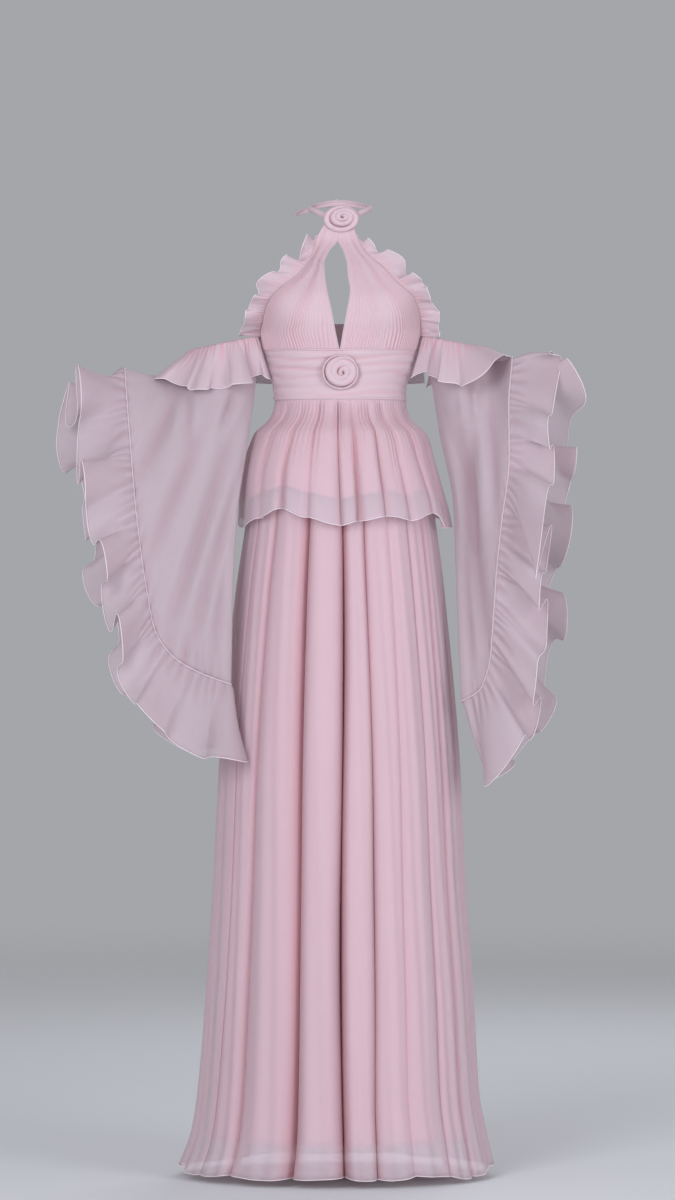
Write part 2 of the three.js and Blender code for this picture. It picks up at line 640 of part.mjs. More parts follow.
// The strip over the upper arm: it hangs from a ring just outside the sleeve's own.
function armRuffle(side) {
  const sleeve = SLEEVES[side];
  const surface = sleeveSurface(sleeve);
  const outer = surface(0, 0, -1);
  const inner = surface(1, 0, -1);
  const middle = outer.clone().lerp(inner, 0.5);
  const half = Math.abs(outer.x - inner.x) / 2 + WALL + SEAM;
  const leaning = curvesOf(ARM_RUFFLES[side]);
  const from = ARM_RUFFLES[side][0].turn;
  const to = ARM_RUFFLES[side].at(-1).turn;
  const count = ARM_RUFFLE_WAVES * WAVE_COLUMNS;
  const rows = [0, 0.5, 1].map((share) =>
    Array.from({ length: count + 1 }, (_, k) => {
      const turn = mix(from, to, k / count);
      const lean = leaning(turn);
      const angle = turn * DEGREE;
      const away = point(-sleeve.side * Math.cos(angle), -Math.sin(angle), 0);
      const level = mix(middle.z, outer.z, -Math.cos(angle));
      const seam = point(middle.x + away.x * half, away.y * (ARM_RING_DEPTH + WALL + SEAM), level);
      const fall = away.clone().multiplyScalar(lean.lean);
      fall.x -= sleeve.side * lean.across;
      fall.z = -1;
      fall.normalize();
      const along = point(sleeve.side * Math.sin(angle), -Math.cos(angle), 0);
      const normal = fall.clone().cross(along).normalize().multiplyScalar(sleeve.side);
      const phase = (2 * Math.PI * ARM_RUFFLE_WAVES * k) / count;
      return seam
        .addScaledVector(fall, lean.wide * share)
        .addScaledVector(normal, lean.wave * share * Math.cos(phase));
    }),
  );
  add("arm_ruffle_" + side, wall(rows, { flip: sleeve.side < 0 }), SHEER);
}

// The narrow frill along an armhole edge, with a station at each corner of that edge.
function armholeFrill(side) {
  const sign = SLEEVES[side].side;
  const leaning = curvesOf(FRILL);
  const heights = BODICE_ROWS.filter((z) => z <= FRILL[0].z && z > BAND_TOP + SEAM);
  const corners = heights.map((z) => onBodice(sign * armhole(z)[side] * DEGREE, z));
  let stations = [{ seam: corners[0], length: 0 }];
  for (const corner of corners.slice(1)) {
    const { seam: from, length } = stations.at(-1);
    const distance = from.distanceTo(corner);
    const pieces = Math.round(distance / FRILL_STEP);
    for (let n = 1; n <= pieces; n++)
      stations.push({ seam: from.clone().lerp(corner, n / pieces), length: length + (distance * n) / pieces });
  }
  stations = stations.filter(({ seam }) => seam.z >= FRILL_END);
  const last = stations.length - 1;
  const rows = [0, 1].map((share) =>
    stations.map(({ seam, length }, k) => {
      const lean = leaning(seam.z);
      const fall = point(sign * lean.x, lean.y, lean.up).normalize();
      const onward = stations[Math.min(k + 1, last)].seam.clone().sub(stations[Math.max(k - 1, 0)].seam);
      const normal = fall.clone().cross(onward).multiplyScalar(sign).normalize();
      const wave = FRILL_WAVE * share * Math.cos((2 * Math.PI * length) / FRILL_PITCH);
      return seam
        .clone()
        .addScaledVector(fall, 2 * SEAM + lean.wide * share)
        .addScaledVector(normal, wave);
    }),
  );
  add("armhole_frill_" + side, wall(rows, { thick: FRILL_WALL, flip: sign < 0 }), SHEER);
}

function backRuffle() {
  const { reach, halfWidth, depth, middle, ends, hem, lean } = BACK_RUFFLE;
  const columns = BACK_RUFFLE_WAVES * 4;
  const rows = [0, 0.5, 1].map((share) =>
    Array.from({ length: columns + 1 }, (_, k) => {
      const angle = mix(180 - reach, 180 + reach, k / columns) * DEGREE;
      const rise = ((k / columns) * 2 - 1) ** 2;
      const top = mix(middle, ends, rise);
      const drop = (top - hem) * share;
      const wave = BACK_RUFFLE_WAVE * share * Math.cos((2 * Math.PI * BACK_RUFFLE_WAVES * k) / columns);
      const out = lean * drop + wave * (1 - rise * 0.5);
      return point((halfWidth + out * 0.3) * Math.sin(angle), -(depth + out) * Math.cos(angle), top - drop);
    }),
  );
  add("back_ruffle", wall(rows), SHEER);
}

function neckStrap() {
  const columns = 32;
  const rows = [0.5, -0.5].map((share) =>
    Array.from({ length: columns }, (_, j) => {
      const angle = (j / columns) * 2 * Math.PI;
      const ahead = Math.cos(angle);
      const level = ahead > 0 ? mix(STRAP.side, STRAP.dip, ahead ** 2) : mix(STRAP.side, STRAP.rise, ahead ** 2);
      const deep = ahead > 0 ? STRAP.front : STRAP.back;
      return point(STRAP.half * Math.sin(angle), -deep * ahead, level + STRAP.tall * share);
    }),
  );
  add("neck_strap", wall(rows, { closed: true, levelEnds: true }), CHIFFON);
}

// The knot behind the neck and the two free ends that leave it.
function neckTie() {
  const knot = new THREE.SphereGeometry(1, 12, 8);
  knot.scale(KNOT.halfWide, KNOT.halfDeep, KNOT.halfTall);
  knot.translate(KNOT.x, STRAP.back + KNOT.halfDeep, STRAP.rise);
  add("neck_knot", knot, CHIFFON);
  for (const [side, route] of Object.entries(TIE_ROUTES)) {
    const line = new THREE.CatmullRomCurve3(route).getPoints(8);
    const broad = side === "left" ? point(0, 0, TIE_HALF_WIDTH) : point(TIE_HALF_WIDTH, 0, 0);
    const rows = [1, -1].map((sign) => line.map((p) => p.clone().addScaledVector(broad, sign)));
    if (side === "left") rows.reverse();
    add("tie_end_" + side, wall(rows), CHIFFON);
  }
}

// A rose of wound cloth: a flat-backed disc whose front rises in spiral ridges.
function rosette(name, rose) {
  const places = [rose.x, rose.y - rose.edge - rose.rise, rose.z];
  const faces = [];
  for (let ring = 1; ring <= ROSE_RINGS + 1; ring++)
    for (let j = 0; j < ROSE_COLUMNS; j++) {
      const share = Math.min(ring / ROSE_RINGS, 1);
      const turn = j / ROSE_COLUMNS;
      const winding = (((share * ROSE_TURNS - turn) % 1) + 1) % 1;
      const ridge = ROSE_RIDGE * Math.sin(Math.PI * winding) * Math.min(1, 4 * (1.05 - share));
      const height = ring > ROSE_RINGS ? 0 : rose.edge + rose.rise * (1 - share ** 2) + ridge;
      const angle = turn * 2 * Math.PI;
      const tight = ring > ROSE_RINGS ? 0.97 : 1;
      const up = rose.halfTall * share * tight * Math.sin(angle);
      const across = rose.halfWide * share * tight * Math.cos(angle);
      places.push(rose.x + across, rose.y - height - rose.tilt * up, rose.z + up);
    }
  places.push(rose.x, rose.y, rose.z);
  const at = (ring, j) => 1 + ring * ROSE_COLUMNS + (j % ROSE_COLUMNS);
  const back = places.length / 3 - 1;
  for (let j = 0; j < ROSE_COLUMNS; j++) {
    faces.push(0, at(0, j), at(0, j + 1));
    faces.push(back, at(ROSE_RINGS, j + 1), at(ROSE_RINGS, j));
    for (let ring = 0; ring < ROSE_RINGS; ring++) {
      faces.push(at(ring, j), at(ring + 1, j), at(ring + 1, j + 1));
      faces.push(at(ring, j), at(ring + 1, j + 1), at(ring, j + 1));
    }
  }
  add(name, geometryOf(places, faces), CHIFFON);
}

neckStrap();
neckTie();
rosette("rosette_neck", NECK_ROSE);
rosette("rosette_waist", WAIST_ROSE);
bodiceBack();
waistband();
peplum();
peplumLining();
skirt();
skirtLining();
backRuffle();
for (const side of ["left", "right"]) {
  bodiceFront(side);
  armholeFrill(side);
  armRuffle(side);
  sleeveAndRuffle(side);
}

export default gown;
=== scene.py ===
# %% [markdown]
# # A chiffon gown
# The gown is a halter dress in pale pink chiffon. Its fronts are gathered under a cloth rosette and part in a
# keyhole, a draped waistband holds a second rosette, and a peplum falls over a long lined skirt. Wide wing
# sleeves leave the bodice at its sides, each one edged all round its opening with a deep ruffle.
#
# The solids that this script loads are the gown's frame: every piece of cloth as a stiff wall at its real
# size. Here each wall is replaced by thin cloth on the same form, with its gathers, folds and rolled hems.
# The front faces -Y, +Z is up, and the origin is the middle of the neck loop. Left and right are as seen
# from the front.

# %% The frame
import math

import bpy
import numpy as np
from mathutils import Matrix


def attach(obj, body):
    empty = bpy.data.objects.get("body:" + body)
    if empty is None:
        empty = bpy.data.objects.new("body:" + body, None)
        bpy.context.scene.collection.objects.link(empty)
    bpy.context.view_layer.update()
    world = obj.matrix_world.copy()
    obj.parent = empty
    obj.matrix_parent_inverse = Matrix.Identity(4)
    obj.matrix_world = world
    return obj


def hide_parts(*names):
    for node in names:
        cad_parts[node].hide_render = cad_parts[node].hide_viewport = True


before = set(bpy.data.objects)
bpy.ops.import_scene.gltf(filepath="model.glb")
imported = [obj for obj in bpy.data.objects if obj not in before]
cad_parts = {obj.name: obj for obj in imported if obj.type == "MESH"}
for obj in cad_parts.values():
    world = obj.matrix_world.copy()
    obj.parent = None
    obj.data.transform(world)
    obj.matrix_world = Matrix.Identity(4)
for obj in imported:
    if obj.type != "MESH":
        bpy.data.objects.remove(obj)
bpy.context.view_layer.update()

print("frame:", len(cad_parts), "pieces of the gown")

# %% [markdown]
# ## Smooth curves from short tables
# A dress pattern is measured at a few heights, and fair curves are drawn through the marks. The tables below
# hold such marks in millimetres, and `curves` reads them anywhere between. The curve never overshoots a mark,
# so a waist stays the narrowest place that was measured.

# %% Curves through the marks
MM = 0.001


def curve(table, name):
    """One column of a table as a smooth curve over the table's first column."""
    key = next(iter(table[0]))
    rows = sorted(table, key=lambda row: row[key])
    at = np.array([row[key] for row in rows], float)
    value = np.array([row[name] for row in rows], float)
    slope = np.diff(value) / np.diff(at)
    tangent = np.concatenate([slope[:1], np.zeros(len(at) - 2), slope[-1:]])
    before, after = slope[:-1], slope[1:]
    same_way = before * after > 0
    total = np.where(same_way, before + after, 1)
    tangent[1:-1] = np.where(same_way, 2 * before * after / total, 0)

    def read(where):
        inside = np.clip(np.asarray(where, float), at[0], at[-1])
        i = np.clip(np.searchsorted(at, inside, side="right") - 1, 0, len(at) - 2)
        span = at[i + 1] - at[i]
        t = (inside - at[i]) / span
        ends = value[i] * (2 * t**3 - 3 * t**2 + 1) + value[i + 1] * (3 * t**2 - 2 * t**3)
        turns = tangent[i] * (t**3 - 2 * t**2 + t) + tangent[i + 1] * (t**3 - t**2)
        return ends + turns * span

    return read


def curves(table):
    """All the columns of a table but its first, as smooth curves."""
    return {name: curve(table, name) for name in list(table[0])[1:]}


bell = [{"z": 0, "wide": 4}, {"z": 1, "wide": 3}, {"z": 2, "wide": 7}]
print("a waist 3 wide, read beside it:", np.round(curve(bell, "wide")([0.9, 1.0, 1.1]), 2))


# %% Blends and directions
def mix(a, b, share):
    """The value at a share of the way from a to b."""
    return a + (b - a) * share


def ease(start, end, x):
    """0 before start, 1 after end, and a soft step between them."""
    t = np.clip((x - start) / (end - start), 0, 1)
    return t * t * (3 - 2 * t)


def unit(vectors):
    """The same directions with a length of 1."""
    return vectors / np.maximum(np.linalg.norm(vectors, axis=-1, keepdims=True), 1e-9)


# %% [markdown]
# ## Uneven waves
# Gathered cloth never repeats exactly. A few sine waves whose lengths share no common step look uneven, yet
# they give the same result on every run. `gathers` turns such a warped count into round ridges with narrow
# valleys between them, which is how a gathered edge puckers.

# %% Uneven waves and gathers
WAVE_TERMS = 4


def uneven(x, seed, low=1.0, high=3.0, whole=False):
    """A smooth, uneven wave between about -1 and 1. Whole numbers of waves close on a full turn."""
    draw = np.random.default_rng(seed)
    total = 0
    for _ in range(WAVE_TERMS):
        pace = draw.uniform(low, high)
        if whole:
            pace = round(pace)
        total = total + draw.uniform(0.5, 1) * np.sin(pace * x + draw.uniform(0, 2 * np.pi))
    return total / (0.6 * WAVE_TERMS)


def gathers(count, soft):
    """Round ridges of height 1, one for each whole number of the count, with a narrow valley between."""
    wave = np.sqrt(np.sin(np.pi * count) ** 2 + soft**2) - soft
    return wave / (math.sqrt(1 + soft**2) - soft)


print("one ridge from valley to valley:", np.round(gathers(np.linspace(0, 1, 5), 0.25), 2))

# %% [markdown]
# ## Sheets of cloth
# Cloth could be draped by a simulation, but then its folds fall where they like and not where the photo has
# them. So each piece is a grid that a formula bends: rows run down the piece and columns run round it. These
# two directions are the warp and the weft, so the UV map in metres gives the weave its true size. A Solidify
# modifier then gives the sheet its thickness, and it is applied so that the mesh is the finished piece.

# %% The normals and the area of a grid
def normals_of(grid, closed=False):
    """The outward normals of a grid whose rows go down and whose columns go round to the right."""
    down = np.gradient(grid, axis=0)
    along = np.roll(grid, -1, 1) - np.roll(grid, 1, 1) if closed else np.gradient(grid, axis=1)
    return unit(np.cross(down, along))


def area_of(grid, closed):
    """The area of the sheet in square metres."""
    if closed:
        grid = np.concatenate([grid, grid[:, :1]], axis=1)
    one = np.cross(grid[1:, :-1] - grid[:-1, :-1], grid[1:, 1:] - grid[:-1, :-1])
    two = np.cross(grid[1:, 1:] - grid[:-1, :-1], grid[:-1, 1:] - grid[:-1, :-1])
    return float((np.linalg.norm(one, axis=-1) + np.linalg.norm(two, axis=-1)).sum()) / 2 * MM * MM


# %% From a grid of points to a piece of cloth
CHIFFON_THICK = 0.35
LINED_THICK = 0.9
pieces = {}


def apply_modifiers(piece):
    """Make the modifiers' result the piece's own mesh."""
    bpy.ops.object.select_all(action="DESELECT")
    piece.select_set(True)
    bpy.context.view_layer.objects.active = piece
    for modifier in list(piece.modifiers):
        bpy.ops.object.modifier_apply(modifier=modifier.name)


def cloth(name, grid, finish, closed=False, flip=False, thick=CHIFFON_THICK, fold=None):
    """A sheet of cloth through a grid of points in millimetres, with how deep each lies in a fold, 0 to 1."""
    rows, columns = grid.shape[:2]
    reach = columns if closed else columns - 1
    i, j = (index.ravel() for index in np.meshgrid(np.arange(rows - 1), np.arange(reach), indexing="ij"))
    corners = [(i, j), (i + 1, j), (i + 1, j + 1), (i, j + 1)]
    if flip:
        corners.reverse()
    faces = np.stack([a * columns + b % columns for a, b in corners], -1)
    around = np.concatenate([grid, grid[:, :1]], axis=1)
    across = np.concatenate([[0], np.cumsum(np.linalg.norm(np.diff(around, axis=1), axis=-1).mean(0))]) * MM
    down = np.concatenate([[0], np.cumsum(np.linalg.norm(np.diff(grid, axis=0), axis=-1).mean(1))]) * MM
    uv = np.stack([np.stack([across[b], -down[a]], -1) for a, b in corners], 1)
    mesh = bpy.data.meshes.new(name)
    mesh.from_pydata((grid.reshape(-1, 3) * MM).tolist(), [], faces.tolist())
    mesh.uv_layers.new(name="cloth").data.foreach_set("uv", uv.astype(np.float32).ravel())
    mesh.shade_smooth()
    # Where a point lies deep in a fold, the finishes paint shade and warm bounced light into the colour.
    if fold is not None:
        folded = np.clip(fold + np.zeros((rows, columns)), 0, 1).astype(np.float32)
        mesh.attributes.new("fold", "FLOAT", "POINT").data.foreach_set("value", folded.ravel())
    piece = bpy.data.objects.new(name, mesh)
    bpy.context.scene.collection.objects.link(piece)
    wall = piece.modifiers.new("thickness", "SOLIDIFY")
    wall.thickness = thick * MM
    wall.offset = -1
    apply_modifiers(piece)
    piece.data.materials.append(finish)
    pieces[name] = piece
    print(f"{name}: {len(piece.data.polygons)} faces, {area_of(grid, closed):.4f} square metres of cloth")
    return piece


# %% [markdown]
# ## Rolled hems
# Chiffon frays, so every free edge is rolled and stitched into a cord about 1.5 mm thick, which catches the
# light as a pale line. It is a tube of six sides that follows the edge. The edge itself gives two directions
# for the tube's section, out of the cloth and onwards past its edge, so the tube never twists. A seam that
# stands up where two pieces meet is made in the same way, a little thicker.

# %% A roll along an edge
HEM_ROLL = 0.75
ROLL_SIDES = 6


def rolled_hem(name, path, normal, outward, finish, closed=False, radius=HEM_ROLL):
    """A thin roll along a path of points in millimetres."""
    turn = np.arange(ROLL_SIDES) / ROLL_SIDES * 2 * np.pi
    ring = np.cos(turn)[:, None, None] * normal + np.sin(turn)[:, None, None] * outward
    grid = path + radius * ring
    count = len(path)
    reach = count if closed else count - 1
    faces = []
    for side in range(ROLL_SIDES):
        upper, lower = side * count, (side + 1) % ROLL_SIDES * count
        for k in range(reach):
            after = (k + 1) % count
            faces.append((upper + k, lower + k, lower + after, upper + after))
    if not closed:
        faces.append([side * count for side in range(ROLL_SIDES)])
        faces.append([side * count + count - 1 for side in reversed(range(ROLL_SIDES))])
    mesh = bpy.data.meshes.new(name)
    mesh.from_pydata((grid.reshape(-1, 3) * MM).tolist(), [], faces)
    mesh.shade_smooth()
    piece = bpy.data.objects.new(name, mesh)
    bpy.context.scene.collection.objects.link(piece)
    bpy.ops.object.select_all(action="DESELECT")
    piece.select_set(True)
    bpy.context.view_layer.objects.active = piece
    bpy.ops.object.mode_set(mode="EDIT")
    bpy.ops.mesh.select_all(action="SELECT")
    bpy.ops.mesh.normals_make_consistent(inside=False)
    bpy.ops.object.mode_set(mode="OBJECT")
    piece.data.materials.append(finish)
    pieces[name] = piece
    print(f"{name}: a roll {2 * radius:.1f} mm thick along {count} points")
    return piece


def hem_below(name, grid, finish, closed=False, radius=HEM_ROLL):
    """A roll along the lowest row of a sheet."""
    outward = unit(grid[-1] - grid[-2])
    normal = unit(np.cross(outward, unit(np.roll(grid[-1], -1, 0) - np.roll(grid[-1], 1, 0))))
    if not closed:
        normal[0], normal[-1] = normal[1], normal[-2]
    return rolled_hem(name, grid[-1], normal, outward, finish, closed, radius)


def sew_on(piece, slot, *nodes):
    """The piece moves with the gown and stands for these solids, which it hides. Its slot is not used."""
    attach(piece, "root")
    if nodes:
        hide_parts(*nodes)


# %% [markdown]
# ## Shader maths as plain expressions
# A material is a small graph of nodes. Wrapping a socket in a class with the usual operators lets the graph
# be written as a formula, and one method makes every other kind of node.

# %% A material's nodes
class Value:
    """A node's output, with arithmetic that adds Math nodes."""

    def __init__(self, finish, socket):
        self.finish = finish
        self.socket = socket

    def _math(self, operation, a, b):
        return self.finish.node("ShaderNodeMath", {0: a, 1: b}, operation=operation)

    def __add__(self, other):
        return self._math("ADD", self, other)

    def __mul__(self, other):
        return self._math("MULTIPLY", self, other)

    __radd__ = __add__
    __rmul__ = __mul__


class Finish:
    """One material and the nodes in it."""

    def __init__(self, name):
        self.material = bpy.data.materials.new(name)
        self.material.use_nodes = True
        self.tree = self.material.node_tree
        self.tree.nodes.clear()

    def node(self, kind, inputs, output=0, **settings):
        """Any node: its settings first, then the values or links of its sockets."""
        made = self.tree.nodes.new(kind)
        for name, value in settings.items():
            setattr(made, name, value)
        for key, value in inputs.items():
            if isinstance(value, Value):
                self.tree.links.new(value.socket, made.inputs[key])
            else:
                made.inputs[key].default_value = value
        return Value(self, made.outputs[output])

    def uv(self, across, down):
        """The piece's own map in metres, stretched to so many steps a metre each way."""
        place = self.node("ShaderNodeTexCoord", {}, output="UV")
        return self.node("ShaderNodeMapping", {"Vector": place, "Scale": (across, down, 1)})

    def noise(self, vector, detail, rough=0.5):
        """Soft noise between 0 and 1, with more detail for finer grain."""
        inputs = {"Vector": vector, "Scale": 1.0, "Detail": detail, "Roughness": rough}
        return self.node("ShaderNodeTexNoise", inputs, output="Fac")

    def blend(self, share, one, other):
        """One colour mixed with another, which a Math node would turn grey."""
        inputs = {"Factor": share, 6: one if isinstance(one, Value) else (*one, 1), 7: (*other, 1)}
        return self.node("ShaderNodeMix", inputs, output=2, data_type="RGBA", blend_type="MIX")

    def surface(self, shader):
        """Make a shader the look of the material."""
        output = self.tree.nodes.new("ShaderNodeOutputMaterial")
        self.tree.links.new(shader.socket, output.inputs["Surface"])


# %% [markdown]
# ## The chiffon, the lined cloth and the lining
# Chiffon is a plain weave of hard-twisted yarn, so thin that the colour behind it shows. Its twist makes a
# fine crepe, drawn out along the warp. One layer is pale and cool. Over the lining, a stronger and warmer
# pink, it looks richer, and in deep folds the light that bounces between pink walls turns warm. So the sheer
# cloth gets an alpha, the lining gets the warm pink, and pieces that are lined all over get one opaque
# colour for both layers, which is easier to match than two. The shade and the warm bounced light in the folds
# are painted: the colour turns darker and warmer where a point lies deep in a fold.

# %% Cloth finishes
PALE_CHIFFON = (0.81, 0.66, 0.71)
SHADED_CHIFFON = (0.76, 0.60, 0.65)
SLEEVE_CHIFFON = (0.69, 0.565, 0.60)
SLEEVE_SHADE = (0.60, 0.475, 0.515)
LINED_PINK = (0.68, 0.52, 0.555)
LINED_SHADE = (0.61, 0.445, 0.48)
WARM_LINING = (0.96, 0.54, 0.58)
WARM_SHADE = (0.92, 0.47, 0.51)
HEM_PINK = (0.84, 0.72, 0.76)
# Painted shade for the folds: the darker, warmer pinks that the cloth turns towards deep in a fold.
FOLD_SHADE_PINK = (0.70, 0.27, 0.31)
SLEEVE_FOLD_SHADE = (0.44, 0.25, 0.30)
# Steps of each pattern to a metre, across the cloth and down it.
CREPE_STEPS = (420, 26)
THREAD_STEPS = (1500, 1500)
TONE_STEPS = (9, 5)
CREPE_HEIGHT = 0.0006
# How much the threads and the depth of a fold change the alpha.
THREAD_GAPS = 0.16
FOLD_DENSITY = 0.2


def cloth_finish(name, light, dark, deep=FOLD_SHADE_PINK, alpha=None, roughness=0.78, sheen=0.2, crepe=0.35):
    """Woven cloth: a crepe along the warp, threads across both ways, and in folds a denser alpha and a
    painted shade, darker and warmer.
    """
    finish = Finish(name)
    streaks = finish.noise(finish.uv(*CREPE_STEPS), detail=3, rough=0.6)
    threads = finish.noise(finish.uv(*THREAD_STEPS), detail=1)
    tone = finish.noise(finish.uv(*TONE_STEPS), detail=2)
    colour = finish.blend(tone * 0.55 + streaks * 0.45, light, dark)
    fold = finish.node("ShaderNodeAttribute", {}, output="Fac", attribute_name="fold")
    # Painted shade and bounced light: the colour turns towards the deep colour where the point lies in a
    # fold.
    colour = finish.blend(fold * (streaks * 0.3 + 0.75), colour, deep)
    height = streaks * 0.7 + threads * 0.3
    relief = {"Height": height, "Strength": crepe, "Distance": CREPE_HEIGHT}
    inputs = {
        "Base Color": colour,
        "Roughness": roughness,
        "Sheen Weight": sheen,
        "Sheen Roughness": 0.4,
        "Sheen Tint": (1.0, 0.93, 0.96, 1),
        "Specular IOR Level": 0.25,
        "Normal": finish.node("ShaderNodeBump", relief),
    }
    if alpha:
        inputs["Alpha"] = threads * THREAD_GAPS + fold * FOLD_DENSITY + (alpha - THREAD_GAPS / 2)
    finish.surface(finish.node("ShaderNodeBsdfPrincipled", inputs))
    return finish.material


chiffon = cloth_finish("sheer_chiffon", PALE_CHIFFON, SHADED_CHIFFON, alpha=0.44)
frill_chiffon = cloth_finish("frill_chiffon", PALE_CHIFFON, LINED_SHADE, alpha=0.75)
sleeve_chiffon = cloth_finish("sleeve_chiffon", SLEEVE_CHIFFON, SLEEVE_SHADE, SLEEVE_FOLD_SHADE, alpha=0.5)
lined = cloth_finish("lined_chiffon", LINED_PINK, LINED_SHADE)
lining = cloth_finish("warm_lining", WARM_LINING, WARM_SHADE, roughness=0.6, crepe=0.15)
hem_finish = cloth_finish("rolled_chiffon", HEM_PINK, HEM_PINK, HEM_PINK, sheen=0.4)
seam_finish = cloth_finish("gathered_seam", SLEEVE_CHIFFON, SLEEVE_SHADE, sheen=0.4)
finishes = (chiffon, frill_chiffon, sleeve_chiffon, lined, lining, hem_finish, seam_finish)
print("finishes:", *(finish.name for finish in finishes))

# %% [markdown]
# ## The form of the bodice
# The bodice, the waistband and the skirt are rings round one upright axis. Each ring has its own half-width
# to the left and the right and its own half-depth to the front and the back. The crown of a cup is a soft
# rise on each side of the front, where a maker would shape the cloth with darts or gathers.

# %% Bodice sizes
# Half-widths and half-depths of the rings, in mm.
BODICE_RINGS = [
    {"z": -25, "left": 150, "right": 150, "front": 57, "back": 60},
    {"z": -50, "left": 150, "right": 150, "front": 57.2, "back": 66},
    {"z": -78, "left": 150, "right": 150, "front": 69, "back": 74},
    {"z": -106, "left": 148, "right": 148, "front": 83, "back": 82},
    {"z": -130, "left": 144, "right": 144, "front": 92, "back": 86},
    {"z": -152, "left": 139, "right": 141, "front": 98, "back": 89},
    {"z": -188, "left": 134, "right": 136, "front": 100, "back": 90},
    {"z": -212, "left": 131, "right": 133, "front": 96, "back": 87},
    {"z": -238, "left": 126, "right": 128, "front": 90, "back": 82},
]
# The crown of a cup: its angle from the front centre and its breadth in degrees, the rest in mm.
CUP_ANGLE, CUP_Z, CUP_WIDE, CUP_TALL, CUP_RISE = 37, -166, 21, 38, 15
# Where the keyhole's edges lie across the front, in mm.
KEYHOLE_EDGES = [
    {"z": -25, "left": -3.8, "right": -3.2},
    {"z": -55, "left": -3.9, "right": -3.1},
    {"z": -75, "left": -18, "right": 6},
    {"z": -96, "left": -26.6, "right": 12},
    {"z": -116, "left": -25.5, "right": 13.5},
    {"z": -140, "left": -21.8, "right": 17},
    {"z": -173, "left": -14.5, "right": 12.2},
    {"z": -212, "left": -7.3, "right": 5},
    {"z": -238, "left": -1.5, "right": 0.6},
]
# Where the armholes' edges lie round the axis, in degrees from the front centre.
ARMHOLE_EDGES = [
    {"z": -25, "left": 8.4, "right": 7.7},
    {"z": -50, "left": 13.9, "right": 10.4},
    {"z": -78, "left": 17.1, "right": 16.7},
    {"z": -106, "left": 24.3, "right": 30},
    {"z": -130, "left": 36.2, "right": 39.7},
    {"z": -152, "left": 49.7, "right": 54.6},
    {"z": -188, "left": 69, "right": 74},
    {"z": -212, "left": 82, "right": 82},
    {"z": -238, "left": 82, "right": 82},
]
FRONT_TOP, FRONT_TALL = -25.5, 212
BACK_TOP = -188
BAND_TOP = -238
SEAM_GAP = 0.3
# The gap at a side seam, in degrees.
SIDE_SEAM = 0.35
EDGE_ROLL = 1.1
BODICE_GATHERS = 31
GATHER_RISE = 1.9
GATHER_SOFT = 0.25
bodice_ring = curves(BODICE_RINGS)
keyhole = curves(KEYHOLE_EDGES)
armhole = curves(ARMHOLE_EDGES)
print("bodice:", FRONT_TOP - BAND_TOP, "mm from the neck to the waistband")


# %% Points on the bodice
def on_ring(ring, angle, z, inset=0.0):
    """Points of a ring at an angle from the front centre, drawn in by an inset."""
    across = np.where(np.sin(angle) > 0, ring["right"](z), ring["left"](z)) - inset
    deep = np.where(np.cos(angle) > 0, ring["front"](z), ring["back"](z)) - inset
    return np.stack([across * np.sin(angle), -deep * np.cos(angle), z + 0 * angle], -1)


def outward_at(angle):
    """The level direction away from the axis at an angle from the front centre."""
    return np.stack([np.sin(angle), -np.cos(angle), 0 * angle], -1)


def on_bodice(angle, z):
    """Points of the halter front or back, with the crowns of the cups pushed out."""
    around = (np.abs(np.degrees(angle)) - CUP_ANGLE) / CUP_WIDE
    crown = CUP_RISE * np.exp(-(around**2) - ((z - CUP_Z) / CUP_TALL) ** 2)
    return on_ring(bodice_ring, angle, z) + crown[..., None] * outward_at(angle)


crown_at = on_bodice(np.radians([CUP_ANGLE]), np.array([float(CUP_Z)]))[0]
print("the crown of the right cup, in mm:", np.round(crown_at, 1))

# %% [markdown]
# ## The halter fronts
# Each front is one piece of cloth gathered at the neck and again at the waistband. The gathers fan out
# between the two, so they follow the share of the way from the keyhole to the armhole. They are close and
# shallow at the neck, full over the cup, and pinched where the waistband takes them.

# %% Gathered fronts
FRONT_ROWS, FRONT_COLUMNS = 74, 190
FINE_PER_GATHER, FINE_RISE = 2.3, 0.25
PINCH_TALL = 6


def front_grid(side):
    """A halter front, with how deep each point lies in a fold."""
    z = np.linspace(FRONT_TOP, BAND_TOP + SEAM_GAP, FRONT_ROWS)[:, None]
    share = np.linspace(0, 1, FRONT_COLUMNS)[None, :]
    edge = keyhole[side](z)
    inner = np.arcsin(edge / np.where(edge > 0, bodice_ring["right"](z), bodice_ring["left"](z)))
    outer = np.radians(armhole[side](z))
    start, end = (-outer, inner) if side == "left" else (inner, outer)
    angle = mix(start, end, share)
    grid = on_bodice(angle, z + 0 * angle)
    seed = 11 if side == "left" else 12
    depth = (FRONT_TOP - z) / FRONT_TALL
    # The main gathers drift sideways on their way down, and finer ones run between them.
    drift = 0.7 * uneven(depth * 3 + share * 4, seed) + 0.5 * uneven(share * 9 - depth, seed + 40, 1, 2)
    ridges = gathers(BODICE_GATHERS * share + drift, GATHER_SOFT)
    fine = gathers(FINE_PER_GATHER * BODICE_GATHERS * share + 1.4 * drift + 0.3, 0.3)
    # They are patchy, and stronger towards the armhole and just above the waistband.
    to_side = 1 - share if side == "left" else share
    patchy = np.clip(0.58 + 0.55 * uneven(share * 17 + 4 * depth, seed + 7, 0.6, 1.6), 0.15, 1)
    weight = patchy * (0.5 + 0.5 * to_side) + 0.35 * np.exp(-(((z + 225) / 26) ** 2))
    # They start shallow at the neck, and fade at both edges and at the waistband.
    full = 0.16 + 0.84 * ease(-40, -120, z)
    edges = ease(0, 0.05, share) * ease(1, 0.97, share)
    tight = ease(BAND_TOP, BAND_TOP + PINCH_TALL, z) * 0.7 + 0.3
    rise = full * tight * edges * (weight * ridges + FINE_RISE * fine)
    fold = edges * (1 - ridges) * weight * (0.55 - 0.2 * ease(-60, -35, z))
    return grid + (GATHER_RISE * rise)[..., None] * normals_of(grid), fold


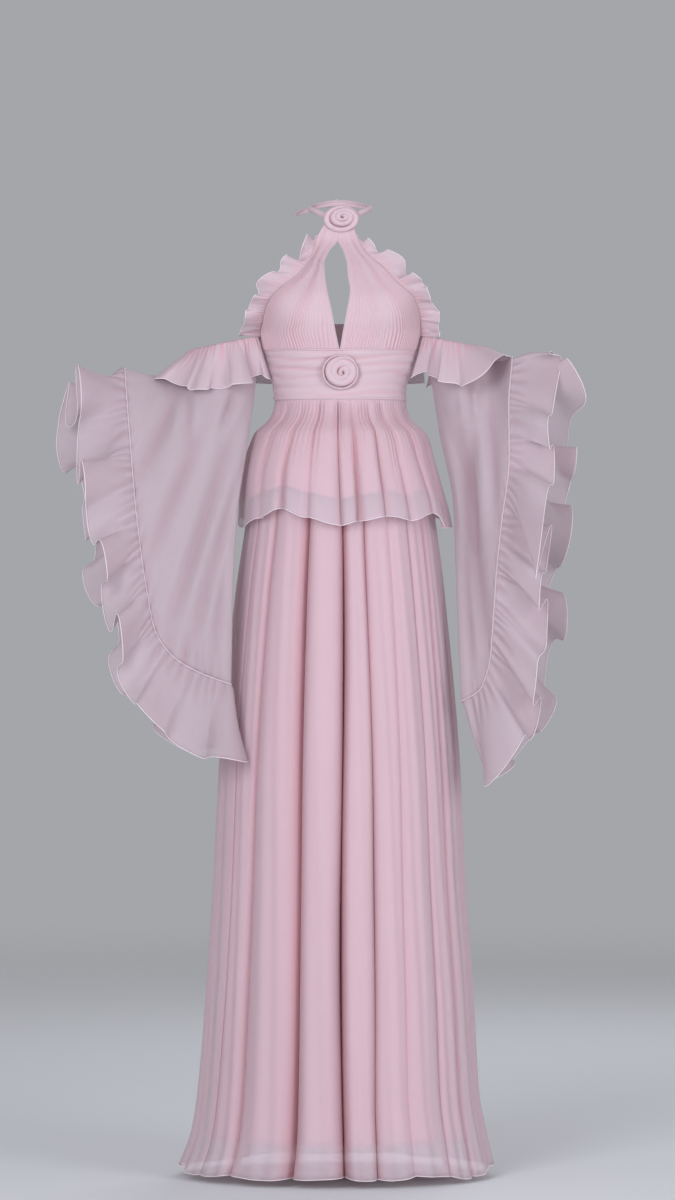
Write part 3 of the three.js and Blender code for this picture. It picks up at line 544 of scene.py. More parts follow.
for side in ("left", "right"):
    grid, fold = front_grid(side)
    front = cloth(f"halter_front_{side}", grid, lined, thick=LINED_THICK, fold=fold)
    edge = -1 if side == "left" else 0
    onward = unit(np.gradient(grid[:, edge], axis=0))
    normal = normals_of(grid)[:, edge]
    outward = unit(np.cross(normal, onward)) * (1 if side == "left" else -1)
    binding = rolled_hem(f"keyhole_edge_{side}", grid[:, edge], normal, outward, lined, radius=EDGE_ROLL)
    sew_on(front, "chiffon", f"bodice_front_{side}")
    sew_on(binding, "chiffon")

# %% [markdown]
# ## The back band of the bodice
# The back is hidden in the photo, so it is finished plainly: a low band between the side seams with shallow
# gathers like those of the fronts.

# %% Back band
BACK_ROWS, BACK_COLUMNS = 22, 200
BACK_GATHERS = 38
BACK_RISE = 0.9


def back_grid():
    """The band between the side seams, behind."""
    z = np.linspace(BACK_TOP, BAND_TOP + SEAM_GAP, BACK_ROWS)[:, None]
    share = np.linspace(0, 1, BACK_COLUMNS)[None, :]
    gap = math.radians(SIDE_SEAM)
    start = np.radians(armhole["right"](z)) + gap
    end = 2 * np.pi - np.radians(armhole["left"](z)) - gap
    angle = mix(start, end, share)
    grid = on_ring(bodice_ring, angle, z + 0 * angle)
    drift = 0.5 * uneven(share * 9 + z / 60, 21)
    rise = BACK_RISE * gathers(BACK_GATHERS * share + drift, GATHER_SOFT)
    rise = rise * ease(0, 0.03, share) * ease(1, 0.97, share)
    return grid + rise[..., None] * normals_of(grid)


grid = back_grid()
back_band = cloth("back_band", grid, lined, thick=LINED_THICK)
normal = normals_of(grid)[0]
upward = np.tile([0.0, 0.0, 1.0], (BACK_COLUMNS, 1))
back_edge = rolled_hem("back_band_edge", grid[0], normal, upward, lined, radius=EDGE_ROLL)
sew_on(back_band, "chiffon", "bodice_back")
sew_on(back_edge, "chiffon")

# %% [markdown]
# ## The waistband
# A bias strip is draped round the waist over a firm band, in level folds that open and close as they go
# round and climb towards the side seams. Each fold could be a strip of its own. As ridges over the height of
# one grid they run into each other, as draped cloth does, and a slow wave round the waist moves them up and
# down.

# %% Draped waistband
WAISTBAND_RINGS = [
    {"z": -238, "left": 126, "right": 128, "front": 90, "back": 82},
    {"z": -267, "left": 117, "right": 118.5, "front": 84, "back": 78},
    {"z": -288, "left": 111.5, "right": 110.5, "front": 81, "back": 76},
    {"z": -303, "left": 107, "right": 107.5, "front": 79.5, "back": 75},
    {"z": -317, "left": 107, "right": 108.5, "front": 80, "back": 76},
]
WAIST_SEAM = -317
BAND_ROWS, BAND_COLUMNS = 46, 300
BAND_FOLDS = 5.5
PLEAT_RISE = 3.4
BAND_SEAM_ROLL = 1.5


def waistband_grid():
    """The draped band, with how deep each point lies between its folds."""
    ring = curves(WAISTBAND_RINGS)
    angle = (np.arange(BAND_COLUMNS) / BAND_COLUMNS * 2 * np.pi)[None, :]
    share = np.linspace(0, 1, BAND_ROWS)[:, None]
    z = mix(BAND_TOP, WAIST_SEAM, share)
    grid = on_ring(ring, angle, z + 0 * angle)
    # The folds climb towards the sides and wander up and down on their way round.
    climb = 0.75 * np.abs(np.sin(angle)) ** 3 * (1 - share)
    wander = 0.32 * uneven(angle, 31, 1, 5, whole=True)
    wander = wander + 0.25 * uneven(angle + 3 * share, 32, 2, 7, whole=True)
    ridges = gathers(BAND_FOLDS * share + climb + wander, 0.16)
    weight = 0.6 + 0.4 * uneven(angle + 2.2 * share, 33, 1, 4, whole=True)
    # They are flatter a little below the middle, and small gathers show at the sides.
    weight = weight * mix(1.0, 0.45, np.exp(-(((share - 0.62) / 0.16) ** 2)))
    small = 0.22 * gathers(26 * angle / np.pi + 2 * share, 0.4) * np.abs(np.sin(angle)) ** 6
    ends = ease(0, 0.03, share) * ease(1, 0.97, share)
    rise = PLEAT_RISE * ends * (weight * ridges + small)
    fold = 0.38 * ends * weight * (1 - ridges) ** 2
    return grid + rise[..., None] * normals_of(grid, True), fold


grid, fold = waistband_grid()
waistband = cloth("waistband_cloth", grid, lined, closed=True, thick=LINED_THICK, fold=fold)
sew_on(waistband, "chiffon", "waistband")
seams = [
    hem_below("band_top_seam", grid[1::-1], lined, closed=True, radius=BAND_SEAM_ROLL),
    hem_below("band_waist_seam", grid, lined, closed=True, radius=BAND_SEAM_ROLL),
]
for seam in seams:
    sew_on(seam, "chiffon")

# %% [markdown]
# ## Folds that hang from a seam
# A gathered skirt hangs in broad round folds with narrow valleys between. Each valley has its own angle and
# depth, and some folds lap over their valley, which gives the crisp dark edge that a soft ripple never has.
# The cloth beside such a valley moves sideways over it, most of all at the hem. A bump in the material could
# draw all this, but the folds would be missing from the outline and from the hem, so they are in the mesh.

# %% Columns and valleys
def fold_columns(folds, per_fold):
    """For each column: its angle, its share of the way to the next valley, and the valleys on both sides."""
    at = np.array([fold["at"] for fold in folds], float)
    span = (np.roll(at, -1) - at) % 360
    share = (1 - np.cos(np.pi * np.arange(per_fold) / per_fold)) / 2
    angle = np.radians(at[:, None] + span[:, None] * share)
    before = np.repeat(np.arange(len(folds)), per_fold)
    width = np.repeat(np.radians(span), per_fold)
    return angle.ravel(), np.tile(share, len(folds)), before, (before + 1) % len(folds), width


def valley(share, sharp, soft):
    """1 in a valley and 0 on the crest between two valleys."""
    near = np.sqrt((2 * np.minimum(share, 1 - share)) ** 2 + soft**2) - soft
    return (1 - near / (math.sqrt(1 + soft**2) - soft)) ** sharp


FOLD_CONTRAST = 1.6
VALLEY_SOFT = 0.06
LAP_PLACE = 0.12
print("from a valley to the crest:", np.round(valley(np.linspace(0, 0.5, 5), 5.5, VALLEY_SOFT), 2))


# %% A tube of hanging folds
def folded_tube(ring, folds, depth, z, per_fold, seed, sharp=5.5, deeper=1.0, laps=1.0, ripple=0.0,
                inset=0.0, sway=1.0):
    """A tube of hanging folds, with the angle and share of every column and how deep each point lies."""
    angle, share, before, after, width = fold_columns(folds, per_fold)
    deep = np.array([fold["deep"] for fold in folds]) ** FOLD_CONTRAST
    lap = np.array([fold.get("lap", 0) for fold in folds], float)
    draw = np.random.default_rng(seed)
    pace, start = draw.uniform(0.6, 1.5, len(folds)), draw.uniform(0, 2 * np.pi, len(folds))
    # Each valley drifts sideways on its way down, and its depth comes and goes.
    drift = np.radians(sway) * np.sin(pace * z / 260 + start) * ease(z[0, 0], z[0, 0] - 260, z)
    step = ease(0, 1, share)
    swung = angle + mix(drift[:, before], drift[:, after], step)
    nearest = np.where(share < 0.5, before, after)
    lively = 1 + 0.16 * np.sin(1.7 * pace * z / 200 + 2 * start)
    groove = deep[nearest] * valley(share, sharp, VALLEY_SOFT) * lively[:, nearest]
    # The cloth beside a lapped valley moves over it, most of all at the hem.
    reach = depth(z) / depth(z[-1:])
    hump = np.where(share < 0.5, share, 1 - share) / LAP_PLACE
    hump = hump * np.exp(1 - hump) * np.abs(1 - 2 * share)
    over = np.where(share < 0.5, -np.maximum(lap[before], 0), -np.minimum(lap[after], 0))
    radius = 0.5 * (ring["front"](z) + ring["left"](z))
    swung = swung + laps * over * hump * reach / radius
    # Small ripples ride on each round fold.
    count = np.maximum(1, np.round(np.degrees(width) / 8))
    small = np.cos(2 * np.pi * count * share + start[before] + z / 170) * np.sin(np.pi * share) ** 2
    drawn = groove * depth(z) * deeper + ripple * reach * small + inset
    fold = valley(share, 3, VALLEY_SOFT) * np.clip(deep[nearest], 0, 1.3) * ease(0, 0.5, reach)
    return on_ring(ring, swung, z + 0 * swung, drawn), swung, share, fold


# %% [markdown]
# ## The skirt and its lining
# The skirt is one sheer layer, about 1.3 metres long from the waist seam. Its opaque lining follows the same
# folds a little further in and ends 53 mm above the hem, so the last of the skirt is a sheer band. At the
# sides the lining stays further in still, which is why the outline of the skirt is see-through.

# %% Skirt sizes
HANG_TOP = -317.3
SKIRT_HEM = -1583
LINING_HEM = -1530
# Half-widths and half-depths of the skirt between its valleys, in mm.
SKIRT_RINGS = [
    {"z": HANG_TOP, "left": 102.4, "right": 103.9, "front": 75.4, "back": 71.4},
    {"z": -350, "left": 108, "right": 109, "front": 85, "back": 84},
    {"z": -372, "left": 125, "right": 126, "front": 98, "back": 99},
    {"z": -400, "left": 134, "right": 135, "front": 106, "back": 109},
    {"z": -440, "left": 145, "right": 146, "front": 116, "back": 119},
    {"z": -522, "left": 155, "right": 158, "front": 126, "back": 130},
    {"z": -640, "left": 172, "right": 173, "front": 141, "back": 146},
    {"z": -908, "left": 198, "right": 197, "front": 164, "back": 167},
    {"z": -1117, "left": 209, "right": 207, "front": 176, "back": 180},
    {"z": -1289, "left": 220, "right": 219, "front": 186, "back": 190},
    {"z": -1461, "left": 234, "right": 229, "front": 198, "back": 203},
    {"z": -1526, "left": 244, "right": 241, "front": 207, "back": 212},
    {"z": SKIRT_HEM, "left": 265, "right": 254, "front": 222, "back": 228},
]
# Valleys by their angle from the front centre in degrees, and how deep each one is beside the others.
# A lap is in mm at the hem: above zero the cloth right of the valley laps over it, else the cloth left of it.
SKIRT_FOLDS = [
    {"at": -180, "deep": 1.1, "lap": 10},
    {"at": -159, "deep": 0.8},
    {"at": -140, "deep": 1, "lap": -12},
    {"at": -119, "deep": 0.7},
    {"at": -99, "deep": 0.8, "lap": 9},
    {"at": -78, "deep": 0.5},
    {"at": -61, "deep": 0.4, "lap": -8},
    {"at": -43, "deep": 0.9, "lap": 15},
    {"at": -19, "deep": 1.2, "lap": 8},
    {"at": 1, "deep": 1.35, "lap": -7},
    {"at": 16, "deep": 0.8, "lap": 7},
    {"at": 30, "deep": 0.4},
    {"at": 45, "deep": 0.7, "lap": -13},
    {"at": 60, "deep": 0.6},
    {"at": 75, "deep": 0.5, "lap": -8},
    {"at": 98, "deep": 0.8},
    {"at": 117, "deep": 0.9, "lap": 11},
    {"at": 138, "deep": 0.7},
    {"at": 158, "deep": 1, "lap": -10},
]
# How deep a valley of depth 1 is at each height, in mm.
SKIRT_FOLD_DEPTHS = [
    {"z": HANG_TOP, "deep": 0},
    {"z": -400, "deep": 5},
    {"z": -640, "deep": 11},
    {"z": -1200, "deep": 16},
    {"z": SKIRT_HEM, "deep": 20},
]
# How far the lining lies inside the skirt, in mm.
LINING_INSETS = [
    {"z": HANG_TOP, "front": 1.9, "side": 1.9},
    {"z": -400, "front": 3.5, "side": 4},
    {"z": -640, "front": 4.5, "side": 11},
    {"z": -1000, "front": 5, "side": 17},
    {"z": SKIRT_HEM, "front": 6, "side": 28},
]
skirt_ring = curves(SKIRT_RINGS)
skirt_depth = curve(SKIRT_FOLD_DEPTHS, "deep")
lining_inset = curves(LINING_INSETS)
print("skirt:", len(SKIRT_FOLDS), "folds,", HANG_TOP - SKIRT_HEM, "mm from the seam to the hem")


def falling(top, hem, rows):
    """Heights from a seam to a hem, closer together near both."""
    share = np.linspace(0, 1, rows)
    return mix(top, hem, 0.75 * share + 0.25 * ease(0, 1, share))[:, None]


# %% A sheer piece and its hem
def hemmed(node, grid, finish, closed=False, flip=False, fold=None):
    """A sheet in place of a sheer solid, with a rolled hem along its last row."""
    sheet = cloth(f"{node}_chiffon", grid, finish, closed=closed, flip=flip, fold=fold)
    hem = hem_below(f"{node}_hem", grid, hem_finish, closed=closed)
    sew_on(sheet, "sheer_chiffon", node)
    sew_on(hem, "sheer_chiffon")
    return sheet, hem


# %% Skirt
SKIRT_DEEPER = 1.35
SKIRT_SEED = 5
SKIRT_RIPPLE = -2.0
HEM_SWING, VALLEY_LIFT, HEM_LIFT_TOP = 5, 3, -1440
z = falling(HANG_TOP, SKIRT_HEM, rows=84)
grid, swung, share, fold = folded_tube(
    skirt_ring, SKIRT_FOLDS, skirt_depth, z, per_fold=26, seed=SKIRT_SEED, deeper=SKIRT_DEEPER,
    ripple=SKIRT_RIPPLE)
lift = HEM_SWING * uneven(swung[-1], 51, 3, 9, whole=True) + VALLEY_LIFT * valley(share, 2, 0.1)
grid[..., 2] += lift * ease(HEM_LIFT_TOP, SKIRT_HEM, z)
skirt, skirt_hem = hemmed("skirt", grid, chiffon, closed=True, fold=0.6 * fold)

# %% Skirt lining
LINING_PER_FOLD = 14
LINING_GAP = 1.5
z = falling(HANG_TOP, LINING_HEM, rows=60)
angle = fold_columns(SKIRT_FOLDS, LINING_PER_FOLD)[0]
inset = mix(lining_inset["front"](z), lining_inset["side"](z), np.sin(angle) ** 4)
grid, _, _, fold = folded_tube(
    skirt_ring, SKIRT_FOLDS, skirt_depth, z, LINING_PER_FOLD, seed=SKIRT_SEED, deeper=SKIRT_DEEPER, laps=0,
    inset=inset + LINING_GAP)
skirt_lining = cloth("skirt_lining_cloth", grid, lining, closed=True, fold=0.6 * fold)
sew_on(skirt_lining, "lining", "skirt_lining")

# %% [markdown]
# ## The peplum
# The peplum is a short flounce on the waist seam. It is gathered much more tightly than the skirt, so small
# gathers run 80 to 180 mm down from the seam and then open into round folds. Its hem rises and falls from
# fold to fold. A second layer under it ends 41 mm higher, and its edge shows through as a level line. Both
# come from the function that made the skirt, and the gathers are laid over its folds.

# %% Peplum sizes
PEPLUM_HEM = -515
PEPLUM_LINING_HEM = -474
PEPLUM_RINGS = [
    {"z": HANG_TOP, "left": 107, "right": 108.5, "front": 80, "back": 76},
    {"z": -335, "left": 110.5, "right": 111.5, "front": 85, "back": 82},
    {"z": -350, "left": 118, "right": 118, "front": 94, "back": 93},
    {"z": -372, "left": 141, "right": 142, "front": 112, "back": 113},
    {"z": -390, "left": 149, "right": 150, "front": 119, "back": 122},
    {"z": -412, "left": 157, "right": 156, "front": 126, "back": 129},
    {"z": -450, "left": 165, "right": 168, "front": 136, "back": 139},
    {"z": -488, "left": 167, "right": 180, "front": 144, "back": 147},
    {"z": -520, "left": 168, "right": 187, "front": 151, "back": 155},
]
# As for the skirt, with how much higher the hem is at each valley, before PEPLUM_SWING enlarges it.
PEPLUM_FOLDS = [
    {"at": -166, "deep": 0.9, "hem": -5, "lap": 5},
    {"at": -144, "deep": 1, "hem": 6},
    {"at": -122, "deep": 0.8, "hem": -3, "lap": -5},
    {"at": -99, "deep": 0.4, "hem": 4},
    {"at": -74, "deep": 0.35, "hem": -10},
    {"at": -52, "deep": 0.8, "hem": 2, "lap": 6},
    {"at": -34, "deep": 0.9, "hem": 14},
    {"at": -18, "deep": 0.6, "hem": 2},
    {"at": -2, "deep": 1, "hem": -9, "lap": -5},
    {"at": 9, "deep": 1, "hem": -3},
    {"at": 25, "deep": 1.3, "hem": 4, "lap": 7},
    {"at": 38, "deep": 0.7, "hem": -2},
    {"at": 54, "deep": 1, "hem": 9, "lap": -6},
    {"at": 72, "deep": 0.8, "hem": -11},
    {"at": 96, "deep": 0.9, "hem": -8},
    {"at": 120, "deep": 0.8, "hem": 4, "lap": 5},
    {"at": 146, "deep": 1, "hem": -6},
    {"at": 171, "deep": 0.8, "hem": 5},
]
PEPLUM_FOLD_DEPTHS = [
    {"z": HANG_TOP, "deep": 0},
    {"z": -350, "deep": 2.5},
    {"z": -430, "deep": 6},
    {"z": -520, "deep": 11},
]
PEPLUM_GATHERS = 5
PEPLUM_TUCK = 4.2
PEPLUM_SWING = 1.25
PEPLUM_FOLDS_FROM = -372
peplum_ring = curves(PEPLUM_RINGS)
peplum_depth = curve(PEPLUM_FOLD_DEPTHS, "deep")
print("peplum:", len(PEPLUM_FOLDS), "folds with", PEPLUM_GATHERS, "gathers in each")


# %% Peplum and its under layer
def peplum_grid(hem, rows, per_fold, inset, laps):
    """A layer of the peplum down to its hem, with how deep each point lies in a fold."""
    z = falling(HANG_TOP, hem, rows)
    drawn = mix(0.45, 1, ease(HANG_TOP, -360, z)) * inset
    grid, swung, share, fold = folded_tube(
        peplum_ring, PEPLUM_FOLDS, peplum_depth, z, per_fold, seed=8, sharp=4.5, deeper=1.45, laps=laps,
        sway=2.2, inset=drawn)
    # Small gathers start at the seam and run down for different lengths.
    count = PEPLUM_GATHERS * share + 0.55 * uneven(swung, 61, 3, 9, whole=True)
    length = 0.6 + 0.55 * uneven(swung, 62, 9, 23, whole=True)
    fade = ease(WAIST_SEAM, -330, z) * (1 - ease(-345, -392 - 90 * length, z))
    patchy = np.clip(0.55 + 0.5 * uneven(swung, 63, 11, 29, whole=True), 0.1, 1)
    tucked = (1 - gathers(count, GATHER_SOFT)) * patchy
    grid = grid - (PEPLUM_TUCK * fade * tucked)[..., None] * outward_at(swung)
    # The hem rises and falls from fold to fold.
    low = np.array([fold["hem"] for fold in PEPLUM_FOLDS], float)
    hem_height = mix(np.repeat(low, per_fold), np.repeat(np.roll(low, -1), per_fold), ease(0, 1, share))
    grid[..., 2] += PEPLUM_SWING * hem_height * ease(PEPLUM_FOLDS_FROM, PEPLUM_HEM, z)
    return grid, 0.4 * fold + 0.5 * fade * tucked


grid, fold = peplum_grid(PEPLUM_HEM, rows=56, per_fold=30, inset=0, laps=1.6)
peplum, peplum_hem = hemmed("peplum", grid, chiffon, closed=True, fold=fold)
grid, fold = peplum_grid(PEPLUM_LINING_HEM, rows=36, per_fold=16, inset=5, laps=0)
peplum_lining = cloth("peplum_under_layer", grid, lining, closed=True, fold=0.5 * fold)
sew_on(peplum_lining, "lining", "peplum_lining")

# %% [markdown]
# ## The wing sleeves
# A wing sleeve is a wide tube of one sheer layer. It starts at a ring beside the bodice, its top edge runs
# out to the side, and its open end falls from there to a low corner beside the skirt. It could be cut flat
# and folded up, but its edges are what the photo shows, so four edge curves give the form: the ring, the
# top, the inner edge and the opening. Blending them across gives the surface between, and the front and
# back layers part in depth. The back layer reaches further out.

# %% Sleeve sizes
ARM_RING_DEPTH = 50
# In each table s runs from the top to the inner edge and v from the arm ring to the opening, both 0 to 1.
# The back layer reaches further out by "back", and the ruffle is "wide" and leans by its x and z.
SLEEVES = {
    "left": {
        "side": -1,
        "lively": 1.0,
        "top": [
            {"v": 0, "x": -241, "y": 0, "z": -234},
            {"v": 0.3, "x": -267, "y": -5, "z": -274},
            {"v": 0.6, "x": -305, "y": -18, "z": -277},
            {"v": 1, "x": -353, "y": -35, "z": -267},
        ],
        "inner": [
            {"v": 0, "x": -131, "y": 0, "z": -212},
            {"v": 0.1, "x": -137, "y": -22, "z": -280},
            {"v": 0.28, "x": -150, "y": -54, "z": -383},
            {"v": 0.51, "x": -168, "y": -82, "z": -513},
            {"v": 0.72, "x": -174, "y": -98, "z": -627},
            {"v": 1, "x": -177, "y": -112, "z": -784},
        ],
        "opening": [
            {"s": 0, "x": -353, "y": -35, "z": -267, "back": 0},
            {"s": 0.155, "x": -345, "y": -40, "z": -358, "back": 34},
            {"s": 0.35, "x": -335, "y": -46, "z": -474, "back": 10},
            {"s": 0.5, "x": -325, "y": -51, "z": -562, "back": 30},
            {"s": 0.6, "x": -316, "y": -57, "z": -621, "back": 10},
            {"s": 0.725, "x": -302, "y": -66, "z": -693, "back": 8},
            {"s": 0.82, "x": -271, "y": -80, "z": -739, "back": 4},
            {"s": 0.915, "x": -223, "y": -98, "z": -767, "back": 0},
            {"s": 1, "x": -177, "y": -112, "z": -784, "back": 0},
        ],
        "depth": 60,
        "ruffle": [
            {"s": 0, "x": -1, "z": 0.08, "wide": 80},
            {"s": 0.2, "x": -0.98, "z": -0.1, "wide": 86},
            {"s": 0.36, "x": -0.92, "z": -0.32, "wide": 80},
            {"s": 0.5, "x": -0.84, "z": -0.5, "wide": 72},
            {"s": 0.62, "x": -0.76, "z": -0.64, "wide": 68},
            {"s": 0.75, "x": -0.6, "z": -0.8, "wide": 92},
            {"s": 0.87, "x": -0.35, "z": -0.95, "wide": 114},
            {"s": 1, "x": -0.04, "z": -1, "wide": 122},
        ],
    },
    "right": {
        "side": 1,
        "lively": 1.3,
        "top": [
            {"v": 0, "x": 240, "y": 0, "z": -232},
            {"v": 0.3, "x": 252, "y": -18, "z": -252},
            {"v": 0.6, "x": 266, "y": -38, "z": -255},
            {"v": 1, "x": 282, "y": -62, "z": -249},
        ],
        "inner": [
            {"v": 0, "x": 133, "y": 0, "z": -212},
            {"v": 0.1, "x": 150, "y": -12, "z": -285},
            {"v": 0.25, "x": 164, "y": -24, "z": -375},
            {"v": 0.45, "x": 186, "y": -34, "z": -490},
            {"v": 0.63, "x": 190, "y": -52, "z": -600},
            {"v": 1, "x": 197, "y": -98, "z": -812},
        ],
        "opening": [
            {"s": 0, "x": 282, "y": -62, "z": -249, "back": 0},
            {"s": 0.14, "x": 275, "y": -66, "z": -330, "back": 46},
            {"s": 0.29, "x": 275, "y": -70, "z": -414, "back": 42},
            {"s": 0.48, "x": 262, "y": -74, "z": -525, "back": 34},
            {"s": 0.6, "x": 255, "y": -76, "z": -592, "back": 24},
            {"s": 0.72, "x": 250, "y": -80, "z": -662, "back": 32},
            {"s": 0.85, "x": 245, "y": -84, "z": -737, "back": 30},
            {"s": 0.93, "x": 228, "y": -92, "z": -792, "back": 16},
            {"s": 1, "x": 197, "y": -98, "z": -812, "back": 0},
        ],
        "depth": 56,
        "ruffle": [
            {"s": 0, "x": 0.9, "z": 0.42, "wide": 78},
            {"s": 0.15, "x": 0.97, "z": 0.05, "wide": 72},
            {"s": 0.35, "x": 0.95, "z": -0.28, "wide": 70},
            {"s": 0.5, "x": 0.9, "z": -0.42, "wide": 82},
            {"s": 0.65, "x": 0.8, "z": -0.58, "wide": 96},
            {"s": 0.8, "x": 0.7, "z": -0.72, "wide": 112},
            {"s": 0.9, "x": 0.5, "z": -0.87, "wide": 124},
            {"s": 1, "x": -0.02, "z": -1, "wide": 134},
        ],
    },
}

# %% Sleeve creases and gathers
# Creases of the front layer, from an upper to a lower place, in mm. The back layer has them at another slant.
SLEEVE_CREASES = {
    "left": [
        {"x0": -250, "z0": -300, "x1": -251, "z1": -395, "wide": 9, "deep": 5},
        {"x0": -168, "z0": -300, "x1": -194, "z1": -372, "wide": 8, "deep": 5},
        {"x0": -172, "z0": -370, "x1": -286, "z1": -712, "wide": 11, "deep": 6},
        {"x0": -165, "z0": -450, "x1": -250, "z1": -735, "wide": 10, "deep": 6},
        {"x0": -212, "z0": -330, "x1": -320, "z1": -600, "wide": 14, "deep": 5},
        {"x0": -262, "z0": -290, "x1": -338, "z1": -470, "wide": 12, "deep": 5},
        {"x0": -182, "z0": -560, "x1": -205, "z1": -765, "wide": 9, "deep": 5},
    ],
    "right": [
        {"x0": 211, "z0": -290, "x1": 212, "z1": -350, "wide": 7, "deep": 5},
        {"x0": 229, "z0": -290, "x1": 228, "z1": -345, "wide": 7, "deep": 4},
        {"x0": 214, "z0": -350, "x1": 222, "z1": -560, "wide": 10, "deep": 6},
        {"x0": 190, "z0": -330, "x1": 236, "z1": -700, "wide": 10, "deep": 6},
        {"x0": 245, "z0": -290, "x1": 252, "z1": -520, "wide": 10, "deep": 5},
        {"x0": 200, "z0": -520, "x1": 214, "z1": -790, "wide": 8, "deep": 5},
    ],
}
SLEEVE_ROWS, SLEEVE_COLUMNS = 66, 90
BACK_CREASE_TOP, BACK_CREASE_LOW, BACK_CREASE_STEP = 12, 10, 4
SLEEVE_SWELL = 2.2
ROOT_GATHERS, ROOT_TUCK = 34, 2.2
OPENING_GATHERS, OPENING_TUCK = 40, 3.0
SLEEVE_GATHER_SOFT = 0.3
print("sleeve creases:", {side: len(creases) for side, creases in SLEEVE_CREASES.items()})


# %% The sleeve's surface
def sleeve_curves(sleeve):
    """The curves of a sleeve's edges and of its ruffle, by name."""
    return {name: curves(sleeve[name]) for name in ("top", "inner", "opening", "ruffle")}


def sleeve_surface(sleeve, s, v, layer):
    """Points of a sleeve: s from the top to the inner edge, v from the arm ring to the opening."""
    edge = sleeve_curves(sleeve)
    # A blend of four edges: both pairs of sides, less the corners that they share.
    swing = (1 - np.cos(np.pi * s)) / 2
    axes = []
    for axis in "xyz":
        top, inner, opening = edge["top"][axis], edge["inner"][axis], edge["opening"][axis]
        root = mix(top(0.0), inner(0.0), swing)
        sides = mix(root, opening(s), v) + mix(top(v), inner(v), s)
        corners = mix(mix(top(0.0), inner(0.0), s), mix(top(1.0), inner(1.0), s), v)
        axes.append(sides - corners)
    bulge = np.abs(np.sin(np.pi * s)) ** mix(1, 0.6, v)
    apart = mix(ARM_RING_DEPTH, sleeve["depth"], v) * bulge
    reach = np.where(layer > 0, sleeve["side"] * edge["opening"]["back"](s) * v, 0)
    return np.stack([axes[0] + reach, axes[1] + layer * apart, axes[2]], -1)


# %% Sleeves
def trough(grid, crease):
    """How deep a crease is at each point, by its distance from the crease's line in the front view."""
    start = np.array([crease["x0"], crease["z0"]], float)
    line = np.array([crease["x1"], crease["z1"]], float) - start
    away = grid[..., [0, 2]] - start
    along = np.clip((away @ line) / (line @ line), 0, 1)
    distance = np.linalg.norm(away - along[..., None] * line, axis=-1)
    taper = np.sin(np.pi * np.clip(along, 0.04, 0.96)) ** 0.6
    near = distance / crease["wide"]
    return crease["deep"] * taper * (np.exp(-(near**2)) - 0.45 * np.exp(-((near - 1.9) ** 2)))


def sleeve_grid(side):
    """The sleeve's points, with the share s and the layer of each column."""
    sleeve = SLEEVES[side]
    v = np.linspace(0, 1, SLEEVE_ROWS)[:, None]
    k = np.arange(2 * SLEEVE_COLUMNS)
    half = np.where(k <= SLEEVE_COLUMNS, k, 2 * SLEEVE_COLUMNS - k) / SLEEVE_COLUMNS
    s = mix(half, (1 - np.cos(np.pi * half)) / 2, v)
    layer = np.where(k <= SLEEVE_COLUMNS, -1, 1) + 0 * v
    grid = sleeve_surface(sleeve, s, v, layer)
    normal = normals_of(grid, True) * -sleeve["side"]
    shift = 0
    for n, crease in enumerate(SLEEVE_CREASES[side]):
        top = crease["x0"] + sleeve["side"] * BACK_CREASE_TOP
        low = crease["x1"] - sleeve["side"] * (BACK_CREASE_LOW + BACK_CREASE_STEP * n)
        moved = dict(crease, x0=top, x1=low)
        shift = shift + np.where(layer < 0, trough(grid, crease), trough(grid, moved))
    # A slow swell, and small gathers at the arm ring and at the opening, join the creases.
    inside = ease(0, 0.06, s) * ease(1, 0.94, s) * ease(0, 0.05, v)
    soft = SLEEVE_SWELL * uneven(s * 9 + v * 3, 71, 0.6, 1.6) * np.sin(np.pi * v)
    at_root = ROOT_GATHERS * s + 0.7 * uneven(s * 20, 72)
    puckers = ROOT_TUCK * (1 - gathers(at_root, SLEEVE_GATHER_SOFT)) * (1 - ease(0, 0.2, v))
    length = 0.9 - 0.05 * uneven(s * 31, 74)
    at_opening = OPENING_GATHERS * s + 0.8 * uneven(s * 16, 73)
    tight = OPENING_TUCK * (1 - gathers(at_opening, SLEEVE_GATHER_SOFT)) * ease(length, 1.0, v)
    fold = 0.1 * np.clip(shift, 0, 5) + 0.12 * puckers + 0.17 * tight
    return grid - ((shift - soft + puckers + tight) * inside)[..., None] * normal, s, layer, fold * inside


sleeve_grids = {}
for side in ("left", "right"):
    sleeve_grids[side] = sleeve_grid(side)
    grid, _, _, fold = sleeve_grids[side]
    name = f"sleeve_{side}_chiffon"
    sleeve = cloth(name, grid, sleeve_chiffon, closed=True, flip=side == "right", fold=fold)
    sew_on(sleeve, "sheer_chiffon", f"sleeve_{side}")

# %% [markdown]
# ## The deep ruffles round the sleeves
# A ruffle is a strip cut about one and a half times as long as its seam. The spare length stands up in waves
# that grow towards the free edge. A plain ripple looks like corrugated card, because its slope is the same
# everywhere. Real ruffle waves are loops that lean over their own necks, so each point also moves along the
# strip, twice for each wave. Their size and spacing are uneven, and close puckers start at the seam.

# %% Strips that wave
def resample(path, count, *fields):
    """Points evenly spaced round a closed path, with other values along it read at the same places."""
    closed = np.concatenate([path, path[:1]])
    length = np.concatenate([[0], np.cumsum(np.linalg.norm(np.diff(closed, axis=0), axis=1))])
    wanted = np.linspace(0, length[-1], count, endpoint=False)
    wrapped = [np.concatenate([field, field[:1]]) for field in (*path.T, *fields)]
    read = [np.interp(wanted, length, field) for field in wrapped]
    return np.stack(read[:3], -1), read[3:], wanted / length[-1]


